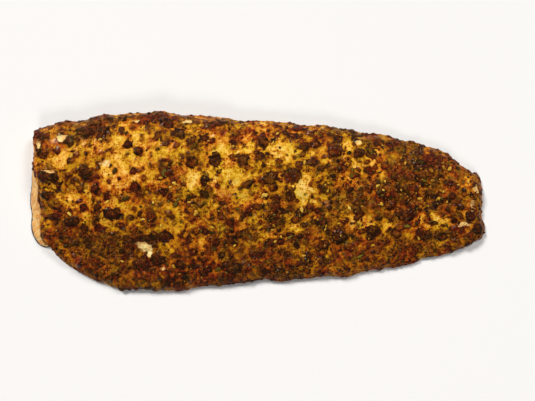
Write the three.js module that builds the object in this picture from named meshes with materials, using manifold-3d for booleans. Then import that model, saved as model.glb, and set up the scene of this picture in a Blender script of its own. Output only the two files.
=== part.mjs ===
import * as THREE from "three";
import { mergeVertices } from "three/addons/utils/BufferGeometryUtils.js";
import Module from "manifold-3d";

// A baked side of salmon lying on its skin. X runs from the cut behind the head to the trimmed tail, Y from the
// thin belly to the thick back, and Z up. The flesh is one solid: a rounded loin that thins towards the belly and
// the tail, with sloping cut ends. The browned glaze stands on it as blisters, with minced garlic and chopped herbs
// baked in.

// The outline from above, in millimetres. Each edge is given at even steps and joined by a smooth curve.
const BACK_X = [-221.5, 221.5]; // where the back edge starts and ends
const BACK_Y = [75, 82, 88, 86, 81, 78, 73, 65, 54, 30];
const BELLY_X = [-212, 223];
const BELLY_Y = [-48, -78, -88, -86, -80, -77, -74, -66, -55, -41];
const HEAD_CUT_X = [-212, -216, -216, -217, -223, -224, -221]; // from the belly to the back
const TAIL_CUT_X = [223, 227, 226, 225, 225, 221];
const CORNER_ROUNDING = 4; // how far a corner is drawn in towards the middle
const CORNER_SHARPNESS = 18;

// Thickness along the side, from the head end to the tail end.
const LOIN_THICKNESS = [26, 30, 33, 33, 31, 28.5, 25.5, 22, 18.5, 15];
const BELLY_THICKNESS = [10, 11, 12, 12, 12, 11.5, 11, 10.5, 10, 9];
const LOIN_AT = 0.66; // share of the width, from the belly, where the loin is thickest
const BACK_DROP = 0.16; // share of the thickness lost from the loin to the back edge
const BACK_DROP_FROM = 0.74; // share of the width where that loss starts
const LATERAL_LINE_AT = 0.5;
const LATERAL_LINE_DEPTH = 1.3;
const LATERAL_LINE_HALF_WIDTH = 0.03;

// Waves, by their height and the distance of one radian: those of the cut edges, and the swells of the top.
const EDGE_WAVES = [[1.0, 9], [0.6, 5.1]];
const LONG_SWELL = { height: 1.1, alongX: 23, alongY: 19 };
const SLANTED_SWELL = { height: 0.7, along: 14, slant: 1.6 };

// The four rims: over what width the top rounds off, how much of the height is left there, how far the wall
// below bulges out, and how far its foot steps out (or in, where negative).
const RIMS = {
  belly: { width: 13, share: 0.5, bulge: 1.4, foot: -2 },
  back: { width: 27, share: 0.42, bulge: 2.6, foot: -5 },
  head: { width: 6, share: 0.8, bulge: 0.6, foot: 2 },
  tail: { width: 11, share: 0.55, bulge: 0.8, foot: 1 },
};
const HEAD_SLOPE = [4, 12, 13, 11, 4, 0, -2]; // more foot on the head cut, from the belly to the back

// The mesh of the flesh.
const CELLS_ALONG = 52;
const CELLS_ACROSS = 19;
const WALL_STEPS = [0.25, 0.6, 1]; // shares of the way down the wall

// The largest blisters: the centre, and half the length along X and Y.
const LARGE_BLISTERS = [
  [-172, 69, 11, 6], [-187, 59, 6, 6], [-151, 69, 6, 6], [-207, 23, 11, 6],
  [-169, 27, 7, 9], [-159, 11, 5, 6], [-209, 5, 8, 4], [-184, -22, 9, 5],
  [-143, -14, 9, 7], [-128, 55, 5, 5], [-118, 48, 5, 5], [-78, 66, 8, 7],
  [-41, 40, 7, 7], [-51, 19, 5, 6], [5, 61, 5, 10], [12, 21, 8, 7],
  [36, 25, 9, 8], [77, 51, 7, 8], [101, 47, 6, 6], [81, -36, 9, 7],
  [148, -15, 11, 6], [213, -16, 5, 5], [197, -20, 4, 4], [-24, -68, 11, 6],
];
const BLISTER_SEED = 7;
const SMALL_BLISTERS = 100;
const BLISTER_RADIUS = [2.5, 5.2];
const BLISTER_RISE = 0.42; // height over radius
const BLISTER_SUNK = 0.15; // share of the height that is sunk in the glaze
const BLISTER_GAP = 0.5; // least distance between blisters, as a share of their radii together

// Minced garlic and chopped herbs.
const GARLIC_SEED = 21;
const GARLIC_BITS = 30;
const GARLIC_RADIUS = [1.5, 2.5];
const HERB_SEED = 33;
const HERB_BITS = 30;
const HERB_RADIUS = [1.6, 2.8];
const BIT_STRETCH = [1.3, 0.75]; // a bit's half length and half width over its radius
const GARLIC_RISE = 0.7;
const HERB_RISE = 0.5;
const BIT_SUNK = 0.2;
const RIM_MARGIN = 0.035; // share of the side along each edge that stays free of toppings

const wasm = await Module();
wasm.setup();

const mix = (a, b, t) => a + (b - a) * t;

function smoothStep(from, to, x) {
  const t = Math.min(1, Math.max(0, (x - from) / (to - from)));
  return t * t * (3 - 2 * t);
}

// A smooth curve through values that are spaced evenly over t from 0 to 1.
function curveThrough(values, t) {
  const last = values.length - 1;
  const at = Math.min(Math.max(t, 0), 1) * last;
  const i = Math.min(Math.floor(at), last - 1);
  const f = at - i;
  const b = values[i];
  const c = values[i + 1];
  const a = i > 0 ? values[i - 1] : 2 * b - c;
  const d = i + 2 <= last ? values[i + 2] : 2 * c - b;
  const square = 2 * a - 5 * b + 4 * c - d;
  const cube = -a + 3 * b - 3 * c + d;
  return 0.5 * (2 * b + (c - a) * f + square * f * f + cube * f * f * f);
}

// A repeatable source of random numbers from 0 to 1.
function drawFrom(seed) {
  let state = seed >>> 0;
  return () => {
    state = (Math.imul(state, 1664525) + 1013904223) >>> 0;
    return state / 4294967296;
  };
}

// How uneven a cut edge is, in millimetres, by the distance along it.
function ragged(along) {
  const [[longHeight, long], [shortHeight, short]] = EDGE_WAVES;
  return longHeight * Math.sin(along / long) + shortHeight * Math.sin(along / short + 1.7);
}

// The point above share u of the length and share v of the width, as a patch blended from the four edges.
function planPoint(u, v) {
  const backX = mix(BACK_X[0], BACK_X[1], u);
  const backY = curveThrough(BACK_Y, u) + ragged(backX);
  const bellyX = mix(BELLY_X[0], BELLY_X[1], u);
  const bellyY = curveThrough(BELLY_Y, u) - ragged(bellyX + 40);
  const headY = mix(BELLY_Y[0], BACK_Y[0], v);
  const headX = curveThrough(HEAD_CUT_X, v) - ragged(headY);
  const tailY = mix(BELLY_Y.at(-1), BACK_Y.at(-1), v);
  const tailX = curveThrough(TAIL_CUT_X, v) + ragged(tailY);
  const cornerX = mix(mix(BELLY_X[0], BELLY_X[1], u), mix(BACK_X[0], BACK_X[1], u), v);
  const cornerY = mix(mix(BELLY_Y[0], BELLY_Y.at(-1), u), mix(BACK_Y[0], BACK_Y.at(-1), u), v);
  const x = mix(bellyX, backX, v) + mix(headX, tailX, u) - cornerX;
  const y = mix(bellyY, backY, v) + mix(headY, tailY, u) - cornerY;
  const corner = CORNER_ROUNDING * Math.abs((2 * u - 1) * (2 * v - 1)) ** CORNER_SHARPNESS;
  return [x - corner * Math.sign(2 * u - 1), y - corner * Math.sign(2 * v - 1)];
}

// Distances from (u, v) to the four edges, in millimetres.
function edgeDistances(u, v) {
  const width = curveThrough(BACK_Y, u) - curveThrough(BELLY_Y, u);
  const length = BACK_X[1] - BACK_X[0];
  return { belly: v * width, back: (1 - v) * width, head: u * length, tail: (1 - u) * length };
}

// A quarter-round profile that rises from 0 at the edge to 1 at the given width.
function quarterRound(distance, width) {
  const inward = Math.min(1, Math.max(0, distance / width));
  return Math.sqrt(1 - (1 - inward) ** 2);
}

// Slow swells of the glazed top.
function topSwell(x, y) {
  const { height, alongX, alongY } = LONG_SWELL;
  const long = height * Math.sin(x / alongX + 1.3) * Math.cos(y / alongY - 0.7);
  return long + SLANTED_SWELL.height * Math.sin((x - SLANTED_SWELL.slant * y) / SLANTED_SWELL.along);
}

// Height of the top above what the side rests on.
function topHeight(u, v) {
  const [x, y] = planPoint(u, v);
  const loin = curveThrough(LOIN_THICKNESS, u) * (1 - BACK_DROP * smoothStep(BACK_DROP_FROM, 1, v));
  const thickness = mix(curveThrough(BELLY_THICKNESS, u), loin, smoothStep(0, LOIN_AT, v));
  const fromLine = (v - LATERAL_LINE_AT) / LATERAL_LINE_HALF_WIDTH;
  const groove = LATERAL_LINE_DEPTH * Math.exp(-fromLine * fromLine);
  const distances = edgeDistances(u, v);
  let height = thickness - groove + topSwell(x, y);
  for (const [name, rim] of Object.entries(RIMS)) {
    height *= mix(rim.share, 1, quarterRound(distances[name], rim.width));
  }
  return height;
}

// How far the wall stands out from the rim at (u, v), at a share of the way down.
function wallOffset(u, v, down) {
  const distances = edgeDistances(u, v);
  let weights = 0;
  let offset = 0;
  for (const [name, rim] of Object.entries(RIMS)) {
    const weight = 1 / (distances[name] + 6) ** 2;
    const foot = rim.foot + (name === "head" ? curveThrough(HEAD_SLOPE, v) : 0);
    const curl = foot > 0 ? Math.sin((Math.PI / 2) * down) : down * down;
    offset += weight * (rim.bulge * Math.sin(Math.PI * down) + foot * curl);
    weights += weight;
  }
  return offset / weights;
}

// The rim of the top as a list of [u, v], anticlockwise from above.
function rimStations() {
  const stations = [];
  for (let i = 0; i < CELLS_ALONG; i++) stations.push([i / CELLS_ALONG, 0]);
  for (let j = 0; j < CELLS_ACROSS; j++) stations.push([1, j / CELLS_ACROSS]);
  for (let i = CELLS_ALONG; i > 0; i--) stations.push([i / CELLS_ALONG, 1]);
  for (let j = CELLS_ACROSS; j > 0; j--) stations.push([0, j / CELLS_ACROSS]);
  return stations;
}

// The flesh without its toppings: a top grid, a wall of rings below its rim and a flat base.
function fleshGeometry() {
  const positions = [];
  const faces = [];
  const column = CELLS_ACROSS + 1;
  for (let i = 0; i <= CELLS_ALONG; i++) {
    for (let j = 0; j <= CELLS_ACROSS; j++) {
      const u = i / CELLS_ALONG;
      const v = j / CELLS_ACROSS;
      positions.push(...planPoint(u, v), topHeight(u, v));
    }
  }
  for (let i = 0; i < CELLS_ALONG; i++) {
    for (let j = 0; j < CELLS_ACROSS; j++) {
      const a = i * column + j;
      const b = a + column;
      if ((i + j) % 2) faces.push(a, b, b + 1, a, b + 1, a + 1);
      else faces.push(a, b, a + 1, b, b + 1, a + 1);
    }
  }

  const stations = rimStations();
  const count = stations.length;
  const points = stations.map(([u, v]) => planPoint(u, v));
  const outward = points.map((_, k) => {
    const [ax, ay] = points[(k + count - 1) % count];
    const [bx, by] = points[(k + 1) % count];
    const size = Math.hypot(bx - ax, by - ay);
    return [(by - ay) / size, (ax - bx) / size];
  });
  let ring = stations.map(([u, v]) => Math.round(u * CELLS_ALONG) * column + Math.round(v * CELLS_ACROSS));
  for (const down of WALL_STEPS) {
    const first = positions.length / 3;
    stations.forEach(([u, v], k) => {
      const offset = wallOffset(u, v, down);
      const x = points[k][0] + outward[k][0] * offset;
      const y = points[k][1] + outward[k][1] * offset;
      positions.push(x, y, topHeight(u, v) * (1 - down));
    });
    const next = stations.map((_, k) => first + k);
    for (let k = 0; k < count; k++) {
      const after = (k + 1) % count;
      faces.push(ring[k], next[k], next[after], ring[k], next[after], ring[after]);
    }
    ring = next;
  }

  const base = ring.map((k) => new THREE.Vector2(positions[3 * k], positions[3 * k + 1]));
  for (const [a, b, c] of THREE.ShapeUtils.triangulateShape(base, [])) faces.push(ring[a], ring[c], ring[b]);
  const geometry = new THREE.BufferGeometry();
  geometry.setAttribute("position", new THREE.Float32BufferAttribute(positions, 3));
  geometry.setIndex(faces);
  return geometry;
}

// How likely a place is to be browned: more towards the tail and along the belly, less on the golden loin.
function browning(x, y) {
  const towardsTail = 0.4 * smoothStep(-40, 190, x);
  const alongBelly = 0.5 * smoothStep(-40, -75, y);
  const goldenLoin = 0.3 * Math.exp(-(((x + 90) / 110) ** 2) - ((y - 45) / 35) ** 2);
  return 0.4 + towardsTail + alongBelly - goldenLoin;
}

// A place on the top drawn at random: its share of the length and width, and its point.
function randomPlace(draw) {
  const u = mix(RIM_MARGIN, 1 - RIM_MARGIN, draw());
  const v = mix(RIM_MARGIN, 1 - RIM_MARGIN, draw());
  return [u, v, ...planPoint(u, v)];
}

// The height of the top under the point (x, y), found by walking the patch towards it.
function heightUnder(x, y) {
  let u = 0.5;
  let v = 0.5;
  for (let step = 0; step < 12; step++) {
    const [px, py] = planPoint(u, v);
    const distances = edgeDistances(u, v);
    u = Math.min(1, Math.max(0, u + (x - px) / (distances.head + distances.tail)));
    v = Math.min(1, Math.max(0, v + (y - py) / (distances.belly + distances.back)));
  }
  return topHeight(u, v);
}

// Every blister as { x, y, z, rx, ry, turn }: the largest where they are named, then smaller ones at random.
function blisterList() {
  const draw = drawFrom(BLISTER_SEED);
  const list = LARGE_BLISTERS.map(([x, y, rx, ry]) => ({ x, y, z: heightUnder(x, y), rx, ry, turn: 0 }));
  while (list.length < LARGE_BLISTERS.length + SMALL_BLISTERS) {
    const [u, v, x, y] = randomPlace(draw);
    const r = mix(BLISTER_RADIUS[0], BLISTER_RADIUS[1], draw() ** 2);
    const stretch = mix(0.8, 1.25, draw());
    const turn = Math.PI * draw();
    const wanted = draw() < browning(x, y);
    const clear = list.every((o) => Math.hypot(x - o.x, y - o.y) > BLISTER_GAP * (r + o.rx + o.ry));
    if (wanted && clear) list.push({ x, y, z: topHeight(u, v), rx: r * stretch, ry: r / stretch, turn });
  }
  return list;
}

// Small bits at random places clear of each other and of the blisters' middles.
function bitList(seed, count, [least, most], blisters) {
  const draw = drawFrom(seed);
  const list = [];
  while (list.length < count) {
    const [u, v, x, y] = randomPlace(draw);
    const r = mix(least, most, draw());
    const turn = Math.PI * draw();
    const others = [...blisters, ...list];
    const clear = others.every((o) => Math.hypot(x - o.x, y - o.y) > r + Math.min(o.rx, o.ry));
    if (clear) list.push({ x, y, z: topHeight(u, v), rx: r * BIT_STRETCH[0], ry: r * BIT_STRETCH[1], turn });
  }
  return list;
}

// One solid from a closed geometry.
function solidFrom(geometry) {
  const bare = geometry.clone();
  for (const name of Object.keys(bare.attributes)) if (name !== "position") bare.deleteAttribute(name);
  const merged = mergeVertices(bare, 1e-4);
  const mesh = new wasm.Mesh({
    numProp: 3,
    vertProperties: merged.attributes.position.array,
    triVerts: new Uint32Array(merged.index.array),
  });
  return new wasm.Manifold(mesh);
}

// A topping of a given unit shape, stretched, turned and sunk so that only its crown shows.
function topping(shape, { x, y, z, rx, ry, turn }, rise, sunk) {
  const high = rise * Math.sqrt(rx * ry);
  const place = new THREE.Matrix4().makeTranslation(x, y, z - sunk * high);
  place.multiply(new THREE.Matrix4().makeRotationZ(turn));
  place.multiply(new THREE.Matrix4().makeScale(rx, ry, high));
  return solidFrom(shape.clone().applyMatrix4(place));
}

function salmonSide() {
  const blisters = blisterList();
  const garlic = bitList(GARLIC_SEED, GARLIC_BITS, GARLIC_RADIUS, blisters);
  const herbs = bitList(HERB_SEED, HERB_BITS, HERB_RADIUS, [...blisters, ...garlic]);
  const dome = new THREE.SphereGeometry(1, 7, 4).rotateX(Math.PI / 2);
  const chunk = new THREE.IcosahedronGeometry(1, 0);
  const flake = new THREE.OctahedronGeometry(1, 0);
  let solid = solidFrom(fleshGeometry());
  blisters.forEach((place, k) => {
    const shape = k < LARGE_BLISTERS.length ? dome : chunk;
    solid = solid.add(topping(shape, place, BLISTER_RISE, BLISTER_SUNK));
  });
  for (const place of garlic) solid = solid.add(topping(chunk, place, GARLIC_RISE, BIT_SUNK));
  for (const place of herbs) solid = solid.add(topping(flake, place, HERB_RISE, BIT_SUNK));

  const mesh = solid.getMesh();
  const geometry = new THREE.BufferGeometry();
  geometry.setAttribute("position", new THREE.BufferAttribute(mesh.vertProperties, 3));
  geometry.setIndex(new THREE.BufferAttribute(mesh.triVerts, 1));
  geometry.computeBoundingBox();
  const middle = geometry.boundingBox.getCenter(new THREE.Vector3());
  geometry.translate(-middle.x, -middle.y, 0);
  geometry.computeVertexNormals();
  return geometry;
}

const glazedCrust = new THREE.MeshStandardMaterial({ color: 0x8a531c, roughness: 0.45, metalness: 0 });
const side = new THREE.Mesh(salmonSide(), glazedCrust);
side.name = "salmon_side";

const group = new THREE.Group();
group.add(side);
export default group;
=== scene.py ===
# %% [markdown]
# # A baked side of salmon
#
# This lesson builds one fish fillet, baked under a mustard and garlic glaze, as it lies on its skin. The
# real thing is a soft slab with three surfaces: a browned crust on top, cooked flesh at the cut ends, and
# skin below. Each becomes a closed mesh of its own, and the herbs, garlic and crumbs become one mesh for
# each kind.
#
# The first step loads the imported model. Its one solid already has the right size, so every mesh made here
# is lined up with its box.

# %% Load the imported model
import math

import bmesh
import bpy
import numpy as np
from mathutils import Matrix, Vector


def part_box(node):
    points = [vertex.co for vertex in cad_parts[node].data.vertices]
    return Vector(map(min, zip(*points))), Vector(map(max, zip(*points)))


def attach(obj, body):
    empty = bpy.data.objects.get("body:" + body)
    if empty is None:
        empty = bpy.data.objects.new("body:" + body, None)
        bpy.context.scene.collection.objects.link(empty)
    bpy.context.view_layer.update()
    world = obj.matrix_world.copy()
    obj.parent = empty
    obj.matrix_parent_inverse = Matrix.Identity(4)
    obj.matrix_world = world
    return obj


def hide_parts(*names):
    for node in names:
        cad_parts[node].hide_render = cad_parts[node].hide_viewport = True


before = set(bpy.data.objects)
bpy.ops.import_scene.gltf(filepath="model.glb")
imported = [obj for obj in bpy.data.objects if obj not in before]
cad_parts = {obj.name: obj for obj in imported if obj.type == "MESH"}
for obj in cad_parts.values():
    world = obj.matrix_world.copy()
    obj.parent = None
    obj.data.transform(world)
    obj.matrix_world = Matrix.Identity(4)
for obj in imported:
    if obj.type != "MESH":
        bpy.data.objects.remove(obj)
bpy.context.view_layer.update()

MM = 0.001
NODE = "salmon_side"
node_low, node_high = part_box(NODE)
print("solid, in mm:", [round(side / MM, 1) for side in node_high - node_low])

# %% [markdown]
# ## Camera and floor
#
# The picture was taken from almost straight above, with the head end on the left. A camera is easiest to
# place by what it looks at: a point on the fish, an angle above the horizon, and a distance. The distance
# follows from the lens and from how wide a strip of the floor the picture shows. The floor is one pale
# sheet.

# %% Camera and floor
PICTURE_WIDTH = 535 * MM  # width of the strip that the picture shows at the height of the crust
CRUST_LEVEL = 15 * MM
ELEVATION = math.radians(86)
LOOK_AT = Vector((11.2 * MM, -0.6 * MM, CRUST_LEVEL))

LENS = 50  # focal length, in millimetres

camera_data = bpy.data.cameras.new("camera")
camera_data.lens = LENS
camera = bpy.data.objects.new("camera", camera_data)
bpy.context.scene.collection.objects.link(camera)
distance = PICTURE_WIDTH * LENS / camera_data.sensor_width
towards_camera = Vector((0, -math.cos(ELEVATION), math.sin(ELEVATION)))
camera.location = LOOK_AT + towards_camera * distance
camera.rotation_euler = towards_camera.to_track_quat("Z", "Y").to_euler()
bpy.context.scene.camera = camera

FLOOR_SIZE = 8.0  # metres, so that its edges stay out of the picture
bpy.ops.mesh.primitive_plane_add(size=FLOOR_SIZE)
floor = bpy.context.object
floor.name = "floor"
print("camera stands", round(distance / MM), "mm from the crust")

# %% [markdown]
# ## Curves through a few measured values
#
# Fish have no straight edges, but a few widths and thicknesses along the side describe them well. A smooth
# curve through evenly spaced values gives every value in between. The functions take whole arrays of
# numbers at once, which is what makes numpy fast enough for meshes with a hundred thousand points.

# %% Curves and blends
def mix(a, b, share):
    return a + (b - a) * share


def ease(low, high, x):
    """0 below low, 1 above high, and a smooth rise between them."""
    t = np.clip((x - low) / (high - low), 0, 1)
    return t * t * (3 - 2 * t)


def curve_through(values, t):
    """A smooth curve through values that are spaced evenly over t from 0 to 1."""
    values = np.asarray(values, float)
    last = len(values) - 1
    at = np.clip(t, 0, 1) * last
    i = np.minimum(np.floor(at).astype(int), last - 1)
    f = at - i
    before = 2 * values[0] - values[1]
    after = 2 * values[-1] - values[-2]
    padded = np.concatenate([[before], values, [after]])
    a, b, c, d = (padded[i + k] for k in range(4))
    square = 2 * a - 5 * b + 4 * c - d
    cube = -a + 3 * b - 3 * c + d
    return 0.5 * (2 * b + (c - a) * f + square * f**2 + cube * f**3)


# %% [markdown]
# ## The form of the side
#
# The outline is a patch blended from four edge curves: the back, the belly and the two cuts. Every place
# on the fish then has two shares, u along its length and v across its width. The thickness is a second set
# of curves: thin at the belly, thickest in the loin, thinner again towards the tail. Near each edge the
# top rounds off, and a wall goes down to the floor from there. These numbers, in millimetres, are those of
# the solid.

# %% Outline and thickness, in millimetres
BACK_X = [-221.5, 221.5]
BACK_Y = [75, 82, 88, 86, 81, 78, 73, 65, 54, 30]
BELLY_X = [-212, 223]
BELLY_Y = [-48, -78, -88, -86, -80, -77, -74, -66, -55, -41]
HEAD_CUT_X = [-212, -216, -216, -217, -223, -224, -221]
TAIL_CUT_X = [223, 227, 226, 225, 225, 221]
CORNER_ROUNDING = 4
CORNER_SHARPNESS = 18
LENGTH = BACK_X[1] - BACK_X[0]

LOIN_THICKNESS = [26, 30, 33, 33, 31, 28.5, 25.5, 22, 18.5, 15]
BELLY_THICKNESS = [10, 11, 12, 12, 12, 11.5, 11, 10.5, 10, 9]
LOIN_AT = 0.66
BACK_DROP = 0.16  # share of the thickness that is lost at the back edge
BACK_DROP_FROM = 0.74
LATERAL_LINE_AT = 0.5
LATERAL_LINE_DEPTH = 1.3
LATERAL_LINE_HALF_WIDTH = 0.03
SWELL = {"height": 1.1, "length": 23, "width": 19, "start": (1.3, -0.7)}
SLANTING_SWELL = {"height": 0.7, "length": 14, "lean": 1.6}

RIMS = {
    "belly": {"width": 13, "share": 0.5, "bulge": 1.4, "foot": -2},
    "back": {"width": 27, "share": 0.42, "bulge": 2.6, "foot": -5},
    "head": {"width": 6, "share": 0.8, "bulge": 0.6, "foot": 2},
    "tail": {"width": 11, "share": 0.55, "bulge": 0.8, "foot": 1},
}
HEAD_SLOPE = [4, 12, 13, 11, 4, 0, -2]
RIM_REACH = 6  # how far the rim of one edge reaches into that of the next, at a corner

RAGGED_WAVES = [(1.0, 9, 0.0), (0.6, 5.1, 1.7)]  # height, length and start of each wave along a cut edge
RAGGED_SHIFT = 40  # the waves of the belly start this much further along than those of the back


def ragged(along):
    """How uneven a cut edge is, by the distance along it."""
    return sum(height * np.sin(along / length + start) for height, length, start in RAGGED_WAVES)


def plan(u, v):
    """The point of the outline's patch at shares u of the length and v of the width."""
    back_x = mix(*BACK_X, u)
    back_y = curve_through(BACK_Y, u) + ragged(back_x)
    belly_x = mix(*BELLY_X, u)
    belly_y = curve_through(BELLY_Y, u) - ragged(belly_x + RAGGED_SHIFT)
    head_y = mix(BELLY_Y[0], BACK_Y[0], v)
    head_x = curve_through(HEAD_CUT_X, v) - ragged(head_y)
    tail_y = mix(BELLY_Y[-1], BACK_Y[-1], v)
    tail_x = curve_through(TAIL_CUT_X, v) + ragged(tail_y)
    corner_x = mix(mix(*BELLY_X, u), mix(*BACK_X, u), v)
    corner_y = mix(mix(BELLY_Y[0], BELLY_Y[-1], u), mix(BACK_Y[0], BACK_Y[-1], u), v)
    x = mix(belly_x, back_x, v) + mix(head_x, tail_x, u) - corner_x
    y = mix(belly_y, back_y, v) + mix(head_y, tail_y, u) - corner_y
    drawn_in = CORNER_ROUNDING * np.abs((2 * u - 1) * (2 * v - 1)) ** CORNER_SHARPNESS
    return x - drawn_in * np.sign(2 * u - 1), y - drawn_in * np.sign(2 * v - 1)


def edge_distances(u, v):
    width = curve_through(BACK_Y, u) - curve_through(BELLY_Y, u)
    return {"belly": v * width, "back": (1 - v) * width, "head": u * LENGTH, "tail": (1 - u) * LENGTH}


def swell(x, y):
    """Slow waves that keep the top from being too even."""
    start_x, start_y = SWELL["start"]
    straight = np.sin(x / SWELL["length"] + start_x) * np.cos(y / SWELL["width"] + start_y)
    slanting = np.sin((x - SLANTING_SWELL["lean"] * y) / SLANTING_SWELL["length"])
    return SWELL["height"] * straight + SLANTING_SWELL["height"] * slanting


def top_height(u, v):
    """Height of the smooth top above the floor."""
    loin = curve_through(LOIN_THICKNESS, u) * (1 - BACK_DROP * ease(BACK_DROP_FROM, 1, v))
    thickness = mix(curve_through(BELLY_THICKNESS, u), loin, ease(0, LOIN_AT, v))
    groove = LATERAL_LINE_DEPTH * np.exp(-(((v - LATERAL_LINE_AT) / LATERAL_LINE_HALF_WIDTH) ** 2))
    height = thickness - groove + swell(*plan(u, v))
    distances = edge_distances(u, v)
    for name, rim in RIMS.items():
        inward = np.clip(distances[name] / rim["width"], 0, 1)
        height = height * mix(rim["share"], 1, np.sqrt(1 - (1 - inward) ** 2))
    return height


def blend_by_edge(values, u, v, reach):
    """One value for each of the four edges, blended by how near they are."""
    distances = edge_distances(u, v)
    weights = {name: 1 / (distances[name] + reach) ** 2 for name in values}
    return sum(values[name] * weights[name] for name in values) / sum(weights.values())


def wall_offset(u, v, down):
    """How far the wall stands out from the rim, at a share of the way down."""
    offsets = {}
    for name, rim in RIMS.items():
        foot = rim["foot"]
        if name == "head":
            foot = foot + curve_through(HEAD_SLOPE, v)
        curl = np.where(foot > 0, np.sin(math.pi / 2 * down), down**2)
        offsets[name] = rim["bulge"] * np.sin(math.pi * down) + foot * curl
    return blend_by_edge(offsets, u, v, RIM_REACH)


# %% [markdown]
# ## A grid over the top and a wall below it
#
# The top is a grid of points over u and v. The rim rounds off steeply, so the rows crowd together there,
# as the steps round a quarter circle do: the same number of faces then follows the bend far better. The
# wall hangs from the grid's border, station by station round the outline.

# %% Rows, columns and stations
COLUMNS = 430
ROWS = 188
CROWDED_COLUMNS = 0.03  # share of the columns, at each end, that crowd together
CROWDED_ROWS = 0.08
OUTWARD_REACH = 8.5  # the outline's direction is taken over this stretch on both sides
SOLID_RINGS = [0, 0.25, 0.5, 0.75, 1]  # how far down its wall the solid has rings of points


def crowded(count, share):
    """Shares from 0 to 1 in count steps, closer together within that share of the steps at both ends."""
    s = np.linspace(0, 1, count + 1)
    slope = 1 / (1 - 2 * share + 4 * share / math.pi)
    end = slope * share * 2 / math.pi
    near = np.minimum(s, 1 - s)
    bent = end * (1 - np.cos(math.pi / 2 * np.minimum(near / share, 1)))
    v = np.where(near < share, bent, end + slope * (near - share))
    return np.where(s < 0.5, v, 1 - v)


us = crowded(COLUMNS, CROWDED_COLUMNS)
vs = crowded(ROWS, CROWDED_ROWS)
grid_u, grid_v = np.meshgrid(us, vs, indexing="ij")
grid_x, grid_y = plan(grid_u, grid_v)

# Stations run round the outline, anticlockwise from the head end of the belly edge.
station_i = np.concatenate([
    np.arange(COLUMNS), np.full(ROWS, COLUMNS), np.arange(COLUMNS, 0, -1), np.zeros(ROWS, int),
])
station_j = np.concatenate([
    np.zeros(COLUMNS, int), np.arange(ROWS), np.full(COLUMNS, ROWS), np.arange(ROWS, 0, -1),
])
STATIONS = len(station_i)
rim_u = us[station_i]
rim_v = vs[station_j]
rim_x, rim_y = plan(rim_u, rim_v)
rim_z = top_height(rim_u, rim_v)
rim_step = np.hypot(np.roll(rim_x, -1) - rim_x, np.roll(rim_y, -1) - rim_y)
rim_along = np.cumsum(rim_step) - rim_step


def outward_directions():
    """Unit directions square to the outline at each station."""
    total = rim_along[-1] + rim_step[-1]
    loop = np.concatenate([rim_along - total, rim_along, rim_along + total])
    ahead = rim_along + OUTWARD_REACH
    behind = rim_along - OUTWARD_REACH
    dx, dy = (np.interp(ahead, loop, np.tile(rim, 3)) - np.interp(behind, loop, np.tile(rim, 3))
              for rim in (rim_x, rim_y))
    size = np.hypot(dx, dy)
    return dy / size, -dx / size


out_x, out_y = outward_directions()


def wall_ring(down, beyond=0.0):
    """The ring of wall points at a share of the way down, and further out by some millimetres."""
    offset = wall_offset(rim_u, rim_v, down) + beyond
    return np.stack([rim_x + out_x * offset, rim_y + out_y * offset, rim_z * (1 - down)], axis=1)


rings = np.concatenate([wall_ring(np.full(STATIONS, share)) for share in SOLID_RINGS])
middle_x = (rings[:, 0].min() + rings[:, 0].max()) / 2
middle_y = (rings[:, 1].min() + rings[:, 1].max()) / 2
centre = (node_low + node_high) / 2 / MM
SHIFT = np.array([centre.x - middle_x, centre.y - middle_y, 0])
print("outline moved by", SHIFT.round(2), "mm;", STATIONS, "stations")

# %% [markdown]
# ## Repeatable randomness
#
# Food needs thousands of uneven details, and they must fall in the same places in each run. Two kinds of
# noise do most of it. Smooth noise blends random numbers on a lattice, for patches and swells. Scattered
# noise drops one point in each cell of a lattice and gives the distance to the nearest one, for spots,
# crumbs and bubbles.

# %% Noise
LATTICE = 256
TURN_COSINE = 0.8  # the lattice is turned, so that it doesn't line up with the fish
TURN_SINE = 0.6


def smooth_noise(x, y, size, seed):
    """Soft random patches about that size, from -1 to 1."""
    table = np.random.default_rng(seed).uniform(-1, 1, (LATTICE, LATTICE))
    across = (x * TURN_COSINE + y * TURN_SINE) / size
    along = (y * TURN_COSINE - x * TURN_SINE) / size
    i = np.floor(across).astype(int)
    j = np.floor(along).astype(int)
    f = ease(0, 1, across - i)
    g = ease(0, 1, along - j)
    low = mix(table[i % LATTICE, j % LATTICE], table[(i + 1) % LATTICE, j % LATTICE], f)
    high = mix(table[i % LATTICE, (j + 1) % LATTICE], table[(i + 1) % LATTICE, (j + 1) % LATTICE], f)
    return mix(low, high, g)


def layered_noise(x, y, layers, seed):
    """Smooth noise of several sizes, each with its own strength, added up."""
    return sum(strength * smooth_noise(x, y, size, seed + k) for k, (strength, size) in enumerate(layers))


def scattered_points(x, y, spacing, seed):
    """Distance to the nearest of points scattered one to a cell, and a random number that belongs to it."""
    jitter_x, jitter_y, own = np.random.default_rng(seed).random((3, LATTICE, LATTICE))
    column = np.floor(x / spacing).astype(int)
    row = np.floor(y / spacing).astype(int)
    nearest = np.full(np.shape(x), 2 * spacing)
    number = np.zeros(np.shape(x))
    for i in (-1, 0, 1):
        for j in (-1, 0, 1):
            cell = ((column + i) % LATTICE, (row + j) % LATTICE)
            point_x = (column + i + jitter_x[cell]) * spacing
            point_y = (row + j + jitter_y[cell]) * spacing
            away = np.hypot(x - point_x, y - point_y)
            number = np.where(away < nearest, own[cell], number)
            nearest = np.minimum(away, nearest)
    return nearest, number
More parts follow.
